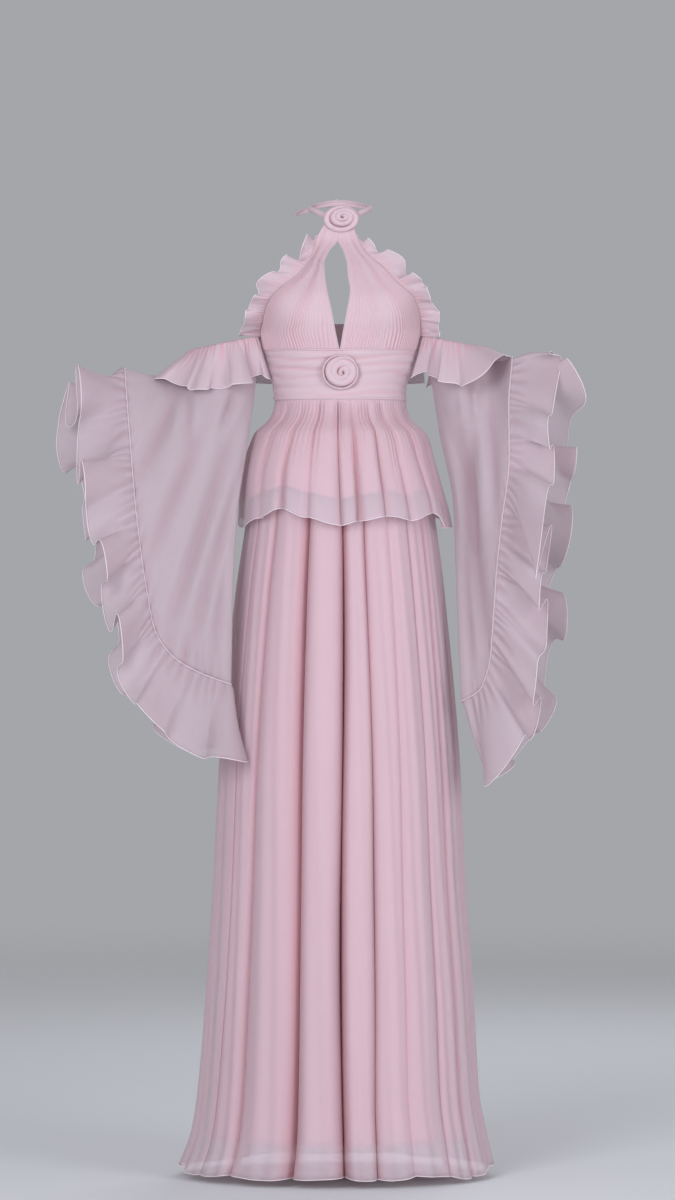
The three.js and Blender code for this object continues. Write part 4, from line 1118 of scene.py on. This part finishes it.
def waves(phase, height, curl, share, onward, normal, seed, droop):
    """How a ruffle's points leave its plain strip: loops that grow towards the free edge and hang over."""
    # Some waves are larger than others, and a small one rides on each.
    size = 1 + 0.36 * np.sin(phase * 0.37 + seed) + 0.2 * np.sin(phase * 0.73 + 2 * seed)
    swell = height * size * share**1.15
    lean = curl * size * share**1.3
    small = 0.14 * height * np.sin(3.1 * phase + seed) * share * (1 - 0.4 * share)
    hang = droop * size * share**1.5 * (0.5 + 0.5 * np.cos(phase)) ** 1.4
    moved = (swell * np.cos(phase) + small)[..., None] * normal
    moved = moved + (lean * np.sin(2 * phase))[..., None] * onward
    return moved + hang[..., None] * np.array([0.0, 0.0, -1.0])


def by_length(phase, pitch):
    """How large each wave of an uneven strip is beside an even one, since longer stretches stand out more."""
    return np.clip(pitch / np.maximum(np.gradient(phase), 1e-6), 0.55, 2.1) ** 0.85


def puckered(count, share, reach, seed):
    """Small creases that start at the seam, each with its own length, 1 at their deepest."""
    length = reach * (1 + 0.45 * uneven(count * 1.3, seed, 0.5, 1.6))
    creases = 1 - gathers(count + 0.4 * uneven(count * 0.7, seed + 1), GATHER_SOFT)
    return creases * (1 - ease(0.1 * length, length, share))


# %% Sleeve ruffles
SLEEVE_RUFFLE_WAVES = 11
RUFFLE_SWELL, RUFFLE_CURL, RUFFLE_DROOP = 25, 15, 44
RUFFLE_PUCKERS, RUFFLE_TUCK = 7.5, 4.2
RUFFLE_FLARE = 0.3
RUFFLE_SEAM = 0.5
SEAM_ROLL = 1.2
RUFFLE_ROWS, RUFFLE_COLUMNS = 22, 42
SMOOTH_REACH, SMOOTH_STEP, SMOOTH_ROUNDS = 10, 4, 6


def sleeve_ruffle_grid(side):
    """A ruffle round the sleeve's opening, with how deep each point lies in a fold."""
    sleeve = SLEEVES[side]
    _, s, layer, _ = sleeve_grids[side]
    count = SLEEVE_RUFFLE_WAVES * RUFFLE_COLUMNS
    plain = sleeve_surface(sleeve, s, 1.0 + 0 * s, layer)[-1]
    seam, (s_at, k_at), along = resample(plain, count, s[-1], np.arange(len(s[-1])) / len(s[-1]))
    lean = sleeve_curves(sleeve)["ruffle"]
    turn = np.where(np.roll(along, -1) < along, 1.0, k_at)
    flare = RUFFLE_FLARE * np.sin(2 * np.pi * turn)
    fall = unit(np.stack([lean["x"](s_at), -flare, lean["z"](s_at)], -1))
    # The seam's direction and the fall are smoothed, so the ruffle goes round corners softly.
    onward = unit(np.roll(seam, -SMOOTH_REACH, 0) - np.roll(seam, SMOOTH_REACH, 0))
    for _ in range(SMOOTH_ROUNDS):
        onward = unit(onward + np.roll(onward, SMOOTH_STEP, 0) + np.roll(onward, -SMOOTH_STEP, 0))
        fall = unit(fall + np.roll(fall, SMOOTH_STEP, 0) + np.roll(fall, -SMOOTH_STEP, 0))
    normal = unit(np.cross(onward, fall))
    share = np.linspace(0, 1, RUFFLE_ROWS)[:, None]
    # The waves bunch up in some places and spread out in others.
    warp = 1.5 * uneven(2 * np.pi * along, 81 + sleeve["side"], 1, 7, whole=True)
    phase = 2 * np.pi * SLEEVE_RUFFLE_WAVES * along + warp
    wide = lean["wide"](s_at) * (1 + 0.1 * uneven(2 * np.pi * along, 83, 2, 6, whole=True))
    strip = seam + (RUFFLE_SEAM + wide * share)[..., None] * fall
    size = by_length(phase, 2 * np.pi * SLEEVE_RUFFLE_WAVES / count) * sleeve["lively"]
    hang = RUFFLE_DROOP * size * np.clip(1 + fall[:, 2], 0.2, 1)
    strip = strip + waves(
        phase + 0 * share, RUFFLE_SWELL * size, RUFFLE_CURL * size, share, onward, normal,
        seed=1.7 + sleeve["side"], droop=hang)
    puckers = puckered(RUFFLE_PUCKERS * SLEEVE_RUFFLE_WAVES * along, share, 0.55, 84)
    fold = 0.5 * puckers + 0.3 * share * (0.5 - 0.5 * np.cos(phase)) ** 3
    return strip - (RUFFLE_TUCK * puckers * ease(0, 0.05, share))[..., None] * normal, fold


for side in ("left", "right"):
    grid, fold = sleeve_ruffle_grid(side)
    ruffle, hem = hemmed(
        f"sleeve_ruffle_{side}", grid, sleeve_chiffon, closed=True, flip=side == "right", fold=fold)
    seam = hem_below(f"sleeve_seam_{side}", grid[1::-1], seam_finish, closed=True, radius=SEAM_ROLL)
    sew_on(seam, "sheer_chiffon")

# %% [markdown]
# ## The ruffles over the sleeve heads, across the back and along the armholes
# A strip runs down each armhole, over the head of the sleeve and across the back. Along the armhole it is a
# narrow frill, over the sleeve it is wide and lies on the cloth, and across the back it hangs straight. It
# is made as five pieces, two, two and one, because each stretch has its own fall and width.

# %% Arm ruffle sizes
ARM_RUFFLE_WAVES = 6
ARM_RUFFLE_ROWS, ARM_RUFFLE_COLUMNS = 18, 35
ARM_RUFFLE_SWELL = 1.9
ARM_RUFFLE_DROOP = 16
ARM_RUFFLE_PUCKERS, ARM_RUFFLE_TUCK = 6.5, 1.8
OVER_SLEEVE = 1.8
# By the turn round the arm ring in degrees: how the ruffle leans out and across, how wide it is and how
# high its waves are.
ARM_RUFFLES = {
    "left": [
        {"turn": 29, "lean": 0.12, "across": 0.2, "wide": 52, "wave": 3},
        {"turn": 75, "lean": 0.42, "across": 0.05, "wide": 70, "wave": 9},
        {"turn": 120, "lean": 0.55, "across": 0, "wide": 80, "wave": 8},
        {"turn": 165, "lean": 1.7, "across": 0, "wide": 72, "wave": 4},
        {"turn": 195, "lean": 1.7, "across": 0, "wide": 72, "wave": 4},
        {"turn": 240, "lean": 0.6, "across": 0, "wide": 78, "wave": 7},
        {"turn": 300, "lean": 0.3, "across": 0, "wide": 62, "wave": 5},
    ],
    "right": [
        {"turn": 29, "lean": 0.2, "across": 0.1, "wide": 50, "wave": 3},
        {"turn": 75, "lean": 0.5, "across": 0, "wide": 66, "wave": 7},
        {"turn": 103, "lean": 0.95, "across": 0, "wide": 90, "wave": 5},
        {"turn": 142, "lean": 5, "across": 0, "wide": 58, "wave": 3},
        {"turn": 180, "lean": 4, "across": 0, "wide": 52, "wave": 3},
        {"turn": 230, "lean": 0.9, "across": 0, "wide": 70, "wave": 6},
        {"turn": 300, "lean": 0.3, "across": 0, "wide": 62, "wave": 5},
    ],
}
print("arm ruffles:", ARM_RUFFLE_WAVES, "waves each")


# %% Arm ruffles
def arm_ruffle_grid(side):
    """A ruffle over the head of the sleeve, from the front round to the back."""
    sleeve = SLEEVES[side]
    edge = sleeve_curves(sleeve)
    outer = np.array([edge["top"][axis](0.0) for axis in "xyz"])
    inner = np.array([edge["inner"][axis](0.0) for axis in "xyz"])
    middle = (outer + inner) / 2
    half = abs(outer[0] - inner[0]) / 2 + OVER_SLEEVE
    lean = curves(ARM_RUFFLES[side])
    step = np.linspace(0, 1, ARM_RUFFLE_WAVES * ARM_RUFFLE_COLUMNS + 1)
    turn = mix(ARM_RUFFLES[side][0]["turn"], ARM_RUFFLES[side][-1]["turn"], step)
    angle = np.radians(turn)
    # The seam goes round the arm ring, just outside the sleeve, and the strip falls and leans away from it.
    away = np.stack([-sleeve["side"] * np.cos(angle), -np.sin(angle), 0 * angle], -1)
    level = mix(middle[2], outer[2], -np.cos(angle))
    deep = away[:, 1] * (ARM_RING_DEPTH + OVER_SLEEVE)
    seam = np.stack([middle[0] + away[:, 0] * half, deep, level], -1)
    fall = away * lean["lean"](turn)[:, None]
    fall[:, 0] -= sleeve["side"] * lean["across"](turn)
    fall[:, 2] = -1
    fall = unit(fall)
    along = np.stack([sleeve["side"] * np.sin(angle), -np.cos(angle), 0 * angle], -1)
    normal = unit(np.cross(fall, along)) * sleeve["side"]
    share = np.linspace(0, 1, ARM_RUFFLE_ROWS)[:, None]
    warp = 0.7 * uneven(6 * step, 91 + sleeve["side"])
    phase = 2 * np.pi * ARM_RUFFLE_WAVES * step + warp * np.sin(np.pi * step)
    strip = seam + (lean["wide"](turn) * share)[..., None] * fall
    wave = lean["wave"](turn) * ARM_RUFFLE_SWELL
    strip = strip + waves(
        phase + 0 * share, wave, 0.5 * wave, share, -along * sleeve["side"], normal, seed=0.6,
        droop=ARM_RUFFLE_DROOP)
    puckers = puckered(ARM_RUFFLE_PUCKERS * ARM_RUFFLE_WAVES * step, share, 0.6, 94)
    small = ARM_RUFFLE_TUCK * puckers * ease(0, 0.05, share)
    return strip + small[..., None] * normal, 0.6 * puckers


for side in ("left", "right"):
    grid, fold = arm_ruffle_grid(side)
    ruffle, hem = hemmed(f"arm_ruffle_{side}", grid, frill_chiffon, flip=side == "left", fold=fold)

# %% Armhole frills
# By the height: the direction in which the frill stands, and its width in mm.
FRILL = [
    {"z": -50, "x": 0.9, "y": -0.1, "up": 0.3, "wide": 12},
    {"z": -77, "x": 0.93, "y": -0.05, "up": 0.36, "wide": 24},
    {"z": -106, "x": 0.92, "y": 0, "up": 0.38, "wide": 36},
    {"z": -130, "x": 0.93, "y": 0, "up": 0.36, "wide": 34},
    {"z": -152, "x": 0.94, "y": 0, "up": 0.3, "wide": 28},
    {"z": -186, "x": 0.98, "y": -0.05, "up": 0.1, "wide": 32},
    {"z": -201, "x": 0.99, "y": -0.1, "up": 0, "wide": 34},
]
FRILL_TOP, FRILL_END = -47, -213
FRILL_ROWS, FRILL_COLUMNS = 14, 180
FRILL_SEAM = 0.6
FRILL_PITCH = 42
FRILL_SWELL, FRILL_CURL, FRILL_DROOP = 8, 4, 16
FRILL_PUCKER_PITCH = 5.5


def frill_grid(side):
    """A narrow frill that stands along an armhole."""
    sign = SLEEVES[side]["side"]
    z = np.linspace(FRILL_TOP, FRILL_END, FRILL_COLUMNS)
    seam = on_bodice(sign * np.radians(armhole[side](z)), z)
    length = np.concatenate([[0], np.cumsum(np.linalg.norm(np.diff(seam, axis=0), axis=1))])
    lean = curves(FRILL)
    fall = unit(np.stack([sign * lean["x"](z), lean["y"](z), lean["up"](z)], -1))
    onward = unit(np.gradient(seam, axis=0))
    normal = unit(np.cross(fall, onward)) * sign
    share = np.linspace(0, 1, FRILL_ROWS)[:, None]
    phase = 2 * np.pi * length / FRILL_PITCH + 1.5 * uneven(length / 30, 95 + sign)
    wide = lean["wide"](z) * (1 + 0.16 * uneven(length / 22, 98 + sign))
    strip = seam + (FRILL_SEAM + wide * share)[..., None] * fall
    size = by_length(phase, phase[-1] / len(phase))
    strip = strip + waves(
        phase + 0 * share, FRILL_SWELL * size, FRILL_CURL * size, share, onward, normal, seed=0.9 + sign,
        droop=FRILL_DROOP * size)
    puckers = puckered(length / FRILL_PUCKER_PITCH, share, 0.7, 96)
    return strip + (puckers * ease(0, 0.06, share))[..., None] * normal, 0.6 * puckers


for side in ("left", "right"):
    grid, fold = frill_grid(side)
    frill, hem = hemmed(f"armhole_frill_{side}", grid, frill_chiffon, flip=side == "right", fold=fold)

# %% Back ruffle
BACK_RUFFLE = {
    "reach": 64, "half_width": 152, "depth": 92.1, "middle": -189, "ends": -214, "hem": -287, "lean": 0.2,
    "swell": 6, "curl": 4, "puckers": 42, "tuck": 1.2,
}
BACK_RUFFLE_WAVES = 7
BACK_RUFFLE_ROWS, BACK_RUFFLE_COLUMNS = 18, 32


def back_ruffle_grid():
    """The ruffle that hangs across the back, from armhole to armhole."""
    size = BACK_RUFFLE
    step = np.linspace(0, 1, BACK_RUFFLE_WAVES * BACK_RUFFLE_COLUMNS + 1)
    angle = np.radians(mix(180 - size["reach"], 180 + size["reach"], step))
    rise = (step * 2 - 1) ** 2
    top = mix(size["middle"], size["ends"], rise)
    share = np.linspace(0, 1, BACK_RUFFLE_ROWS)[:, None]
    drop = (top - size["hem"]) * share
    phase = 2 * np.pi * BACK_RUFFLE_WAVES * step + 0.7 * uneven(step * 7, 97)
    out = size["lean"] * drop + size["swell"] * share * np.cos(phase) * (1 - rise * 0.5)
    grid = np.stack([
        (size["half_width"] + out * 0.3) * np.sin(angle),
        -(size["depth"] + out) * np.cos(angle),
        top - drop,
    ], -1)
    puckers = puckered(size["puckers"] * step, share, 0.7, 99)
    onward = np.stack([np.cos(angle), np.sin(angle), 0 * angle], -1)
    curl = size["curl"] * share**1.3 * np.sin(2 * phase)
    small = size["tuck"] * puckers * ease(0, 0.06, share)
    return grid + curl[..., None] * onward + small[..., None] * outward_at(angle), 0.6 * puckers


grid, fold = back_ruffle_grid()
ruffle, hem = hemmed("back_ruffle", grid, sleeve_chiffon, fold=fold)

# %% [markdown]
# ## The neck strap, its knot and the two ends
# A narrow bias strip forms the neck loop and is tied behind. The strap is a ribbon with a soft fold along its
# middle. The knot could be wound from the strip itself, but it is only 16 mm wide and behind the neck. So it
# starts as a sphere, and on each side a ring of its faces is drawn in, where the strip wraps round it.

# %% Neck strap and tie sizes
STRAP = {"half": 53, "front": 57, "back": 57, "tall": 10, "dip": -20, "side": -1, "rise": 12}
KNOT = {"x": -6, "half_wide": 8, "half_deep": 5.5, "half_tall": 7.5}
TIE_ROUTES = {
    "left": [(-14.5, 63, 10), (-34, 64, 7), (-55, 58, 0), (-74, 50, -7)],
    "right": [(-6, 63, 4.1), (-4, 66, -14), (-1, 66, -34), (1, 65, -56)],
}
TIE_HALF_WIDTH = 4
STRAP_COLUMNS, TIE_COLUMNS, RIBBON_ROWS = 160, 60, 9
TIE_TWIST = math.radians(22)
STRAP_THICK, TIE_THICK = 1.2, 0.9
WRAP_PLACE, WRAP_HALF_WIDTH, WRAP_DEPTH = 3.4 * MM, 1.0 * MM, 0.9 * MM
print("neck loop:", 2 * STRAP["half"], "mm wide and", STRAP["front"] + STRAP["back"], "mm deep")


# %% Neck strap
def strap_grid():
    """The loop of the strap, low in front and high behind."""
    angle = (np.arange(STRAP_COLUMNS) / STRAP_COLUMNS * 2 * np.pi)[None, :]
    share = np.linspace(0.5, -0.5, RIBBON_ROWS)[:, None]
    ahead = np.cos(angle)
    low = np.where(ahead > 0, STRAP["dip"], STRAP["rise"])
    level = mix(STRAP["side"], low, ahead**2)
    fold = 0.9 * np.cos(2 * np.pi * share) + 0.4 * uneven(angle + 2 * share, 101, 4, 11, whole=True)
    x = (STRAP["half"] + fold) * np.sin(angle)
    y = -(np.where(ahead > 0, STRAP["front"], STRAP["back"]) + fold) * ahead
    return np.stack([x, y, level + STRAP["tall"] * share], -1)


strap = cloth("neck_strap_cloth", strap_grid(), lined, closed=True, thick=STRAP_THICK)
sew_on(strap, "chiffon", "neck_strap")


# %% Knot and tie ends
def smooth_route(points, count):
    """A Catmull-Rom curve through a few points."""
    given = np.array(points, float)
    known = np.concatenate([[2 * given[0] - given[1]], given, [2 * given[-1] - given[-2]]])
    at = np.linspace(0, len(given) - 1, count)
    i = np.minimum(at.astype(int), len(given) - 2)
    t = (at - i)[:, None]
    a, b, c, d = (known[i + k] for k in range(4))
    return 0.5 * (2 * b + (c - a) * t + (2 * a - 5 * b + 4 * c - d) * t**2 + (3 * b - a - 3 * c + d) * t**3)


def tie_grid(side):
    """A tie end as a ribbon along its route, which twists as it goes."""
    route = smooth_route(TIE_ROUTES[side], TIE_COLUMNS)
    along = np.linspace(0, 1, TIE_COLUMNS)
    across = np.linspace(-1, 1, RIBBON_ROWS)[:, None]
    broad = np.array([0.0, 0.0, 1.0]) if side == "left" else np.array([1.0, 0.0, 0.0])
    onward = unit(np.gradient(route, axis=0))
    out = unit(np.cross(onward, broad))
    swing = TIE_TWIST * np.sin(5 * along) * along
    direction = np.cos(swing)[:, None] * broad + np.sin(swing)[:, None] * out
    width = TIE_HALF_WIDTH * (1 - 0.25 * np.exp(-(((along - 1) / 0.06) ** 2)))
    cup = 0.8 * (1 - across**2) * np.sin(9 * along + 1)
    return route + (width * across)[..., None] * direction + cup[..., None] * out


bpy.ops.object.select_all(action="DESELECT")
bpy.ops.mesh.primitive_uv_sphere_add(segments=24, ring_count=16, radius=1)
knot = bpy.context.object
knot.name = "tie_knot"
knot.scale = (KNOT["half_wide"] * MM, KNOT["half_deep"] * MM, KNOT["half_tall"] * MM)
knot.location = (KNOT["x"] * MM, (STRAP["back"] + KNOT["half_deep"]) * MM, STRAP["rise"] * MM)
bpy.ops.object.transform_apply(location=True, rotation=True, scale=True)
bpy.ops.object.mode_set(mode="EDIT")
bpy.ops.mesh.select_all(action="DESELECT")
bpy.ops.object.mode_set(mode="OBJECT")
middle = KNOT["x"] * MM
for face in knot.data.polygons:
    face.select = abs(abs(face.center.x - middle) - WRAP_PLACE) < WRAP_HALF_WIDTH
bpy.ops.object.mode_set(mode="EDIT")
bpy.ops.transform.shrink_fatten(value=-WRAP_DEPTH)
bpy.ops.object.mode_set(mode="OBJECT")
round_off = knot.modifiers.new("round", "SUBSURF")
round_off.levels = round_off.render_levels = 1
apply_modifiers(knot)
knot.data.shade_smooth()
knot.data.materials.append(lined)
pieces["tie_knot"] = knot
sew_on(knot, "chiffon", "neck_knot")
for side in ("left", "right"):
    tie = cloth(f"tie_{side}", tie_grid(side), lined, flip=side == "left", thick=TIE_THICK)
    sew_on(tie, "chiffon", f"tie_end_{side}")
print("tied:", len(knot.data.polygons), "faces in the knot")

# %% [markdown]
# ## The rosettes
# Each rosette is a strip of cloth folded along its length and wound from the outside in. The folded edge
# stands up as a soft roll, and every turn sits a little higher and tighter than the last. The turns could be
# separate rings, but one grid keeps the strip whole: its rows go over the roll and its columns go round the
# spiral. Towards the middle the turns are squeezed into a slanting fold, where the end is tucked in.

# %% Rosette sizes
ROSETTES = {
    "neck": {
        "x": 1.6, "y": -57.8, "z": -23, "tilt": 0, "half_wide": 29, "half_tall": 22.5, "rise": 9, "slant": 20,
        "seed": 111, "under": "neck_strap_cloth",
    },
    "waist": {
        "x": 0, "y": -85.6, "z": -274, "tilt": 0.16, "half_wide": 31, "half_tall": 29, "rise": 6, "slant": 60,
        "seed": 121, "under": "waistband_cloth",
    },
}
# A winding by its turns from the rim: how far from the middle, how broad and how high its roll stands.
WINDINGS = {
    "neck": [
        {"turn": 0, "ring": 0.84, "broad": 0.17, "high": 3.6},
        {"turn": 0.9, "ring": 0.78, "broad": 0.19, "high": 5},
        {"turn": 1.2, "ring": 0.58, "broad": 0.2, "high": 7},
        {"turn": 2, "ring": 0.42, "broad": 0.22, "high": 7},
        {"turn": 2.8, "ring": 0.2, "broad": 0.19, "high": 7},
        {"turn": 3.4, "ring": 0.04, "broad": 0.14, "high": 7},
    ],
    "waist": [
        {"turn": 0, "ring": 0.93, "broad": 0.075, "high": 6},
        {"turn": 1, "ring": 0.92, "broad": 0.075, "high": 6},
        {"turn": 1.25, "ring": 0.7, "broad": 0.18, "high": 5},
        {"turn": 2.2, "ring": 0.52, "broad": 0.24, "high": 4.5},
        {"turn": 2.9, "ring": 0.3, "broad": 0.2, "high": 5},
        {"turn": 3.7, "ring": 0.06, "broad": 0.14, "high": 5.5},
    ],
}
OFF_CENTRE = {"neck": (0.16, 0.2), "waist": (0.14, -0.04)}
ROSETTE_ROWS, ROSETTE_COLUMNS = 15, 420
ROSETTE_THICK = 0.6
print("rosette turns:", {place: winding[-1]["turn"] for place, winding in WINDINGS.items()})


# %% Wound rosettes
def rosette_grid(place):
    """The wound strip, with how deep each point lies between the turns."""
    rose = ROSETTES[place]
    seed = rose["seed"]
    winding = curves(WINDINGS[place])
    turns = np.linspace(0, WINDINGS[place][-1]["turn"], ROSETTE_COLUMNS)[None, :]
    over = np.linspace(0, 1, ROSETTE_ROWS)[:, None]
    turn = 2 * np.pi * turns + 0.6
    ring = winding["ring"](turns) * (1 + 0.035 * uneven(turn, seed, 0.7, 2.4))
    broad = winding["broad"](turns) * (1 + 0.12 * uneven(turn, seed + 1, 0.6, 1.9))
    # The section of the strip is an arch, which stands higher towards the middle.
    roll = np.pi * (1.1 - 1.2 * over)
    radius = ring + broad * np.cos(roll)
    crown = 0.35 * rose["rise"] * (1 - np.clip(ring, 0, 1) ** 2)
    creases = 0.35 * uneven(turn * 3 + 3 * over, seed + 2, 1.5, 5)
    height = np.maximum(crown + (winding["high"](turns) + creases) * np.sin(roll), 0.5)
    fold = 0.55 * (1 - np.clip(np.sin(roll), 0, 1)) ** 1.5
    # The turns are squeezed along a slant and moved off centre, most of all in the middle.
    inward = 1 - np.clip(ring, 0, 1) ** 1.5
    slant = math.radians(rose["slant"])
    squeeze = mix(0.7, 1.0, ease(0.1, 0.7, ring))
    a, b = radius * np.cos(turn), radius * np.sin(turn)
    lengthwise = a * math.cos(slant) + b * math.sin(slant)
    crosswise = (-a * math.sin(slant) + b * math.cos(slant)) * squeeze
    aside, above = OFF_CENTRE[place]
    across = lengthwise * math.cos(slant) - crosswise * math.sin(slant) + aside * inward
    up = lengthwise * math.sin(slant) + crosswise * math.cos(slant) + above * inward
    across, up = across * rose["half_wide"], up * rose["half_tall"]
    grid = np.stack([rose["x"] + across, rose["y"] - height - rose["tilt"] * up, rose["z"] + up], -1)
    return grid, fold


for place, rose in ROSETTES.items():
    grid, fold = rosette_grid(place)
    rosette = cloth(f"{place}_rosette", grid, lined, thick=ROSETTE_THICK, fold=fold)
    sew_on(rosette, "chiffon", f"rosette_{place}")

# %% [markdown]
# ## The floor, the light and the camera
# The gown hangs with its hem just above a pale floor. One large soft light stands in front, above and to the
# left, a weaker one fills from the right, and a third from behind lets the sheer cloth glow. The light is
# cool, so that the warm pink of the cloth reads as it does in the photo. The camera is level and far away,
# which keeps the gown's verticals nearly parallel.

# %% Floor
FLOOR_Z = -1.596
FLOOR_RADIUS = 9
FLOOR_FADE = {"From Min": 2.2, "From Max": 7.5, "To Min": 1, "To Max": 0}

bpy.ops.object.select_all(action="DESELECT")
bpy.ops.mesh.primitive_circle_add(
    vertices=64, radius=FLOOR_RADIUS, fill_type="NGON", location=(0, 0, FLOOR_Z))
floor = bpy.context.object
floor.name = "floor"
pale = Finish("pale_floor")
place = pale.node("ShaderNodeTexCoord", {}, output="Object")
reach = pale.node("ShaderNodeVectorMath", {0: place}, output="Value", operation="LENGTH")
fade = pale.node("ShaderNodeMapRange", {"Value": reach, **FLOOR_FADE}, interpolation_type="SMOOTHSTEP")
pale.surface(pale.node("ShaderNodeBsdfPrincipled", {
    "Base Color": (0.72, 0.72, 0.73, 1), "Roughness": 0.7, "Specular IOR Level": 0.2, "Alpha": fade}))
floor.data.materials.append(pale.material)
print("floor:", -FLOOR_Z, "m below the neck loop")


# %% Lights
def soft_light(name, place, aim, size, power, colour):
    """A large rectangle of light that faces its aim."""
    light = bpy.data.lights.new(name, "AREA")
    light.shape = "RECTANGLE"
    light.size, light.size_y = size
    light.energy = power
    light.color = colour
    lamp = bpy.data.objects.new(name, light)
    bpy.context.scene.collection.objects.link(lamp)
    away = np.array(place, float) - np.array(aim, float)
    lamp.location = place
    tip = math.atan2(math.hypot(away[0], away[1]), away[2])
    lamp.rotation_euler = (tip, 0, math.atan2(away[0], -away[1]))


COOL = (0.88, 0.92, 1.0)
soft_light("key", (-1.7, -4.2, 0.7), (0, 0, -0.85), (1.6, 2.4), 118, COOL)
soft_light("fill", (2.8, -3.4, -0.1), (0, 0, -0.85), (1.8, 2.6), 76, COOL)
soft_light("rim", (1.2, 3.2, 1.4), (0, 0, -0.7), (2.0, 2.0), 40, COOL)

world = bpy.data.worlds.new("studio")
world.use_nodes = True
world.node_tree.nodes["Background"].inputs["Color"].default_value = (0.93, 0.95, 1.0, 1)
world.node_tree.nodes["Background"].inputs["Strength"].default_value = 0.4
bpy.context.scene.world = world
print("lights:", len(bpy.data.lights))

# %% Camera
PHOTO_HEIGHT = 1.98
CAMERA_AWAY = 9.0
CAMERA_X, CAMERA_Z = -0.004, -0.647
SENSOR = 24.0

lens = bpy.data.cameras.new("camera")
lens.sensor_fit = "VERTICAL"
lens.sensor_height = SENSOR
lens.lens = SENSOR * CAMERA_AWAY / PHOTO_HEIGHT
lens.clip_end = 100
camera = bpy.data.objects.new("camera", lens)
bpy.context.scene.collection.objects.link(camera)
camera.location = (CAMERA_X, -CAMERA_AWAY, CAMERA_Z)
camera.rotation_euler = (math.pi / 2, 0, 0)
bpy.context.scene.camera = camera
bpy.context.scene.view_settings.view_transform = "Standard"
bpy.context.scene.cycles.transparent_max_bounces = 24
print("camera:", CAMERA_AWAY, "m away,", round(lens.lens, 1), "mm lens")

# %% The size of the dressed gown, in triangles
print("triangles:", sum(len(p.vertices) - 2 for piece in pieces.values() for p in piece.data.polygons))
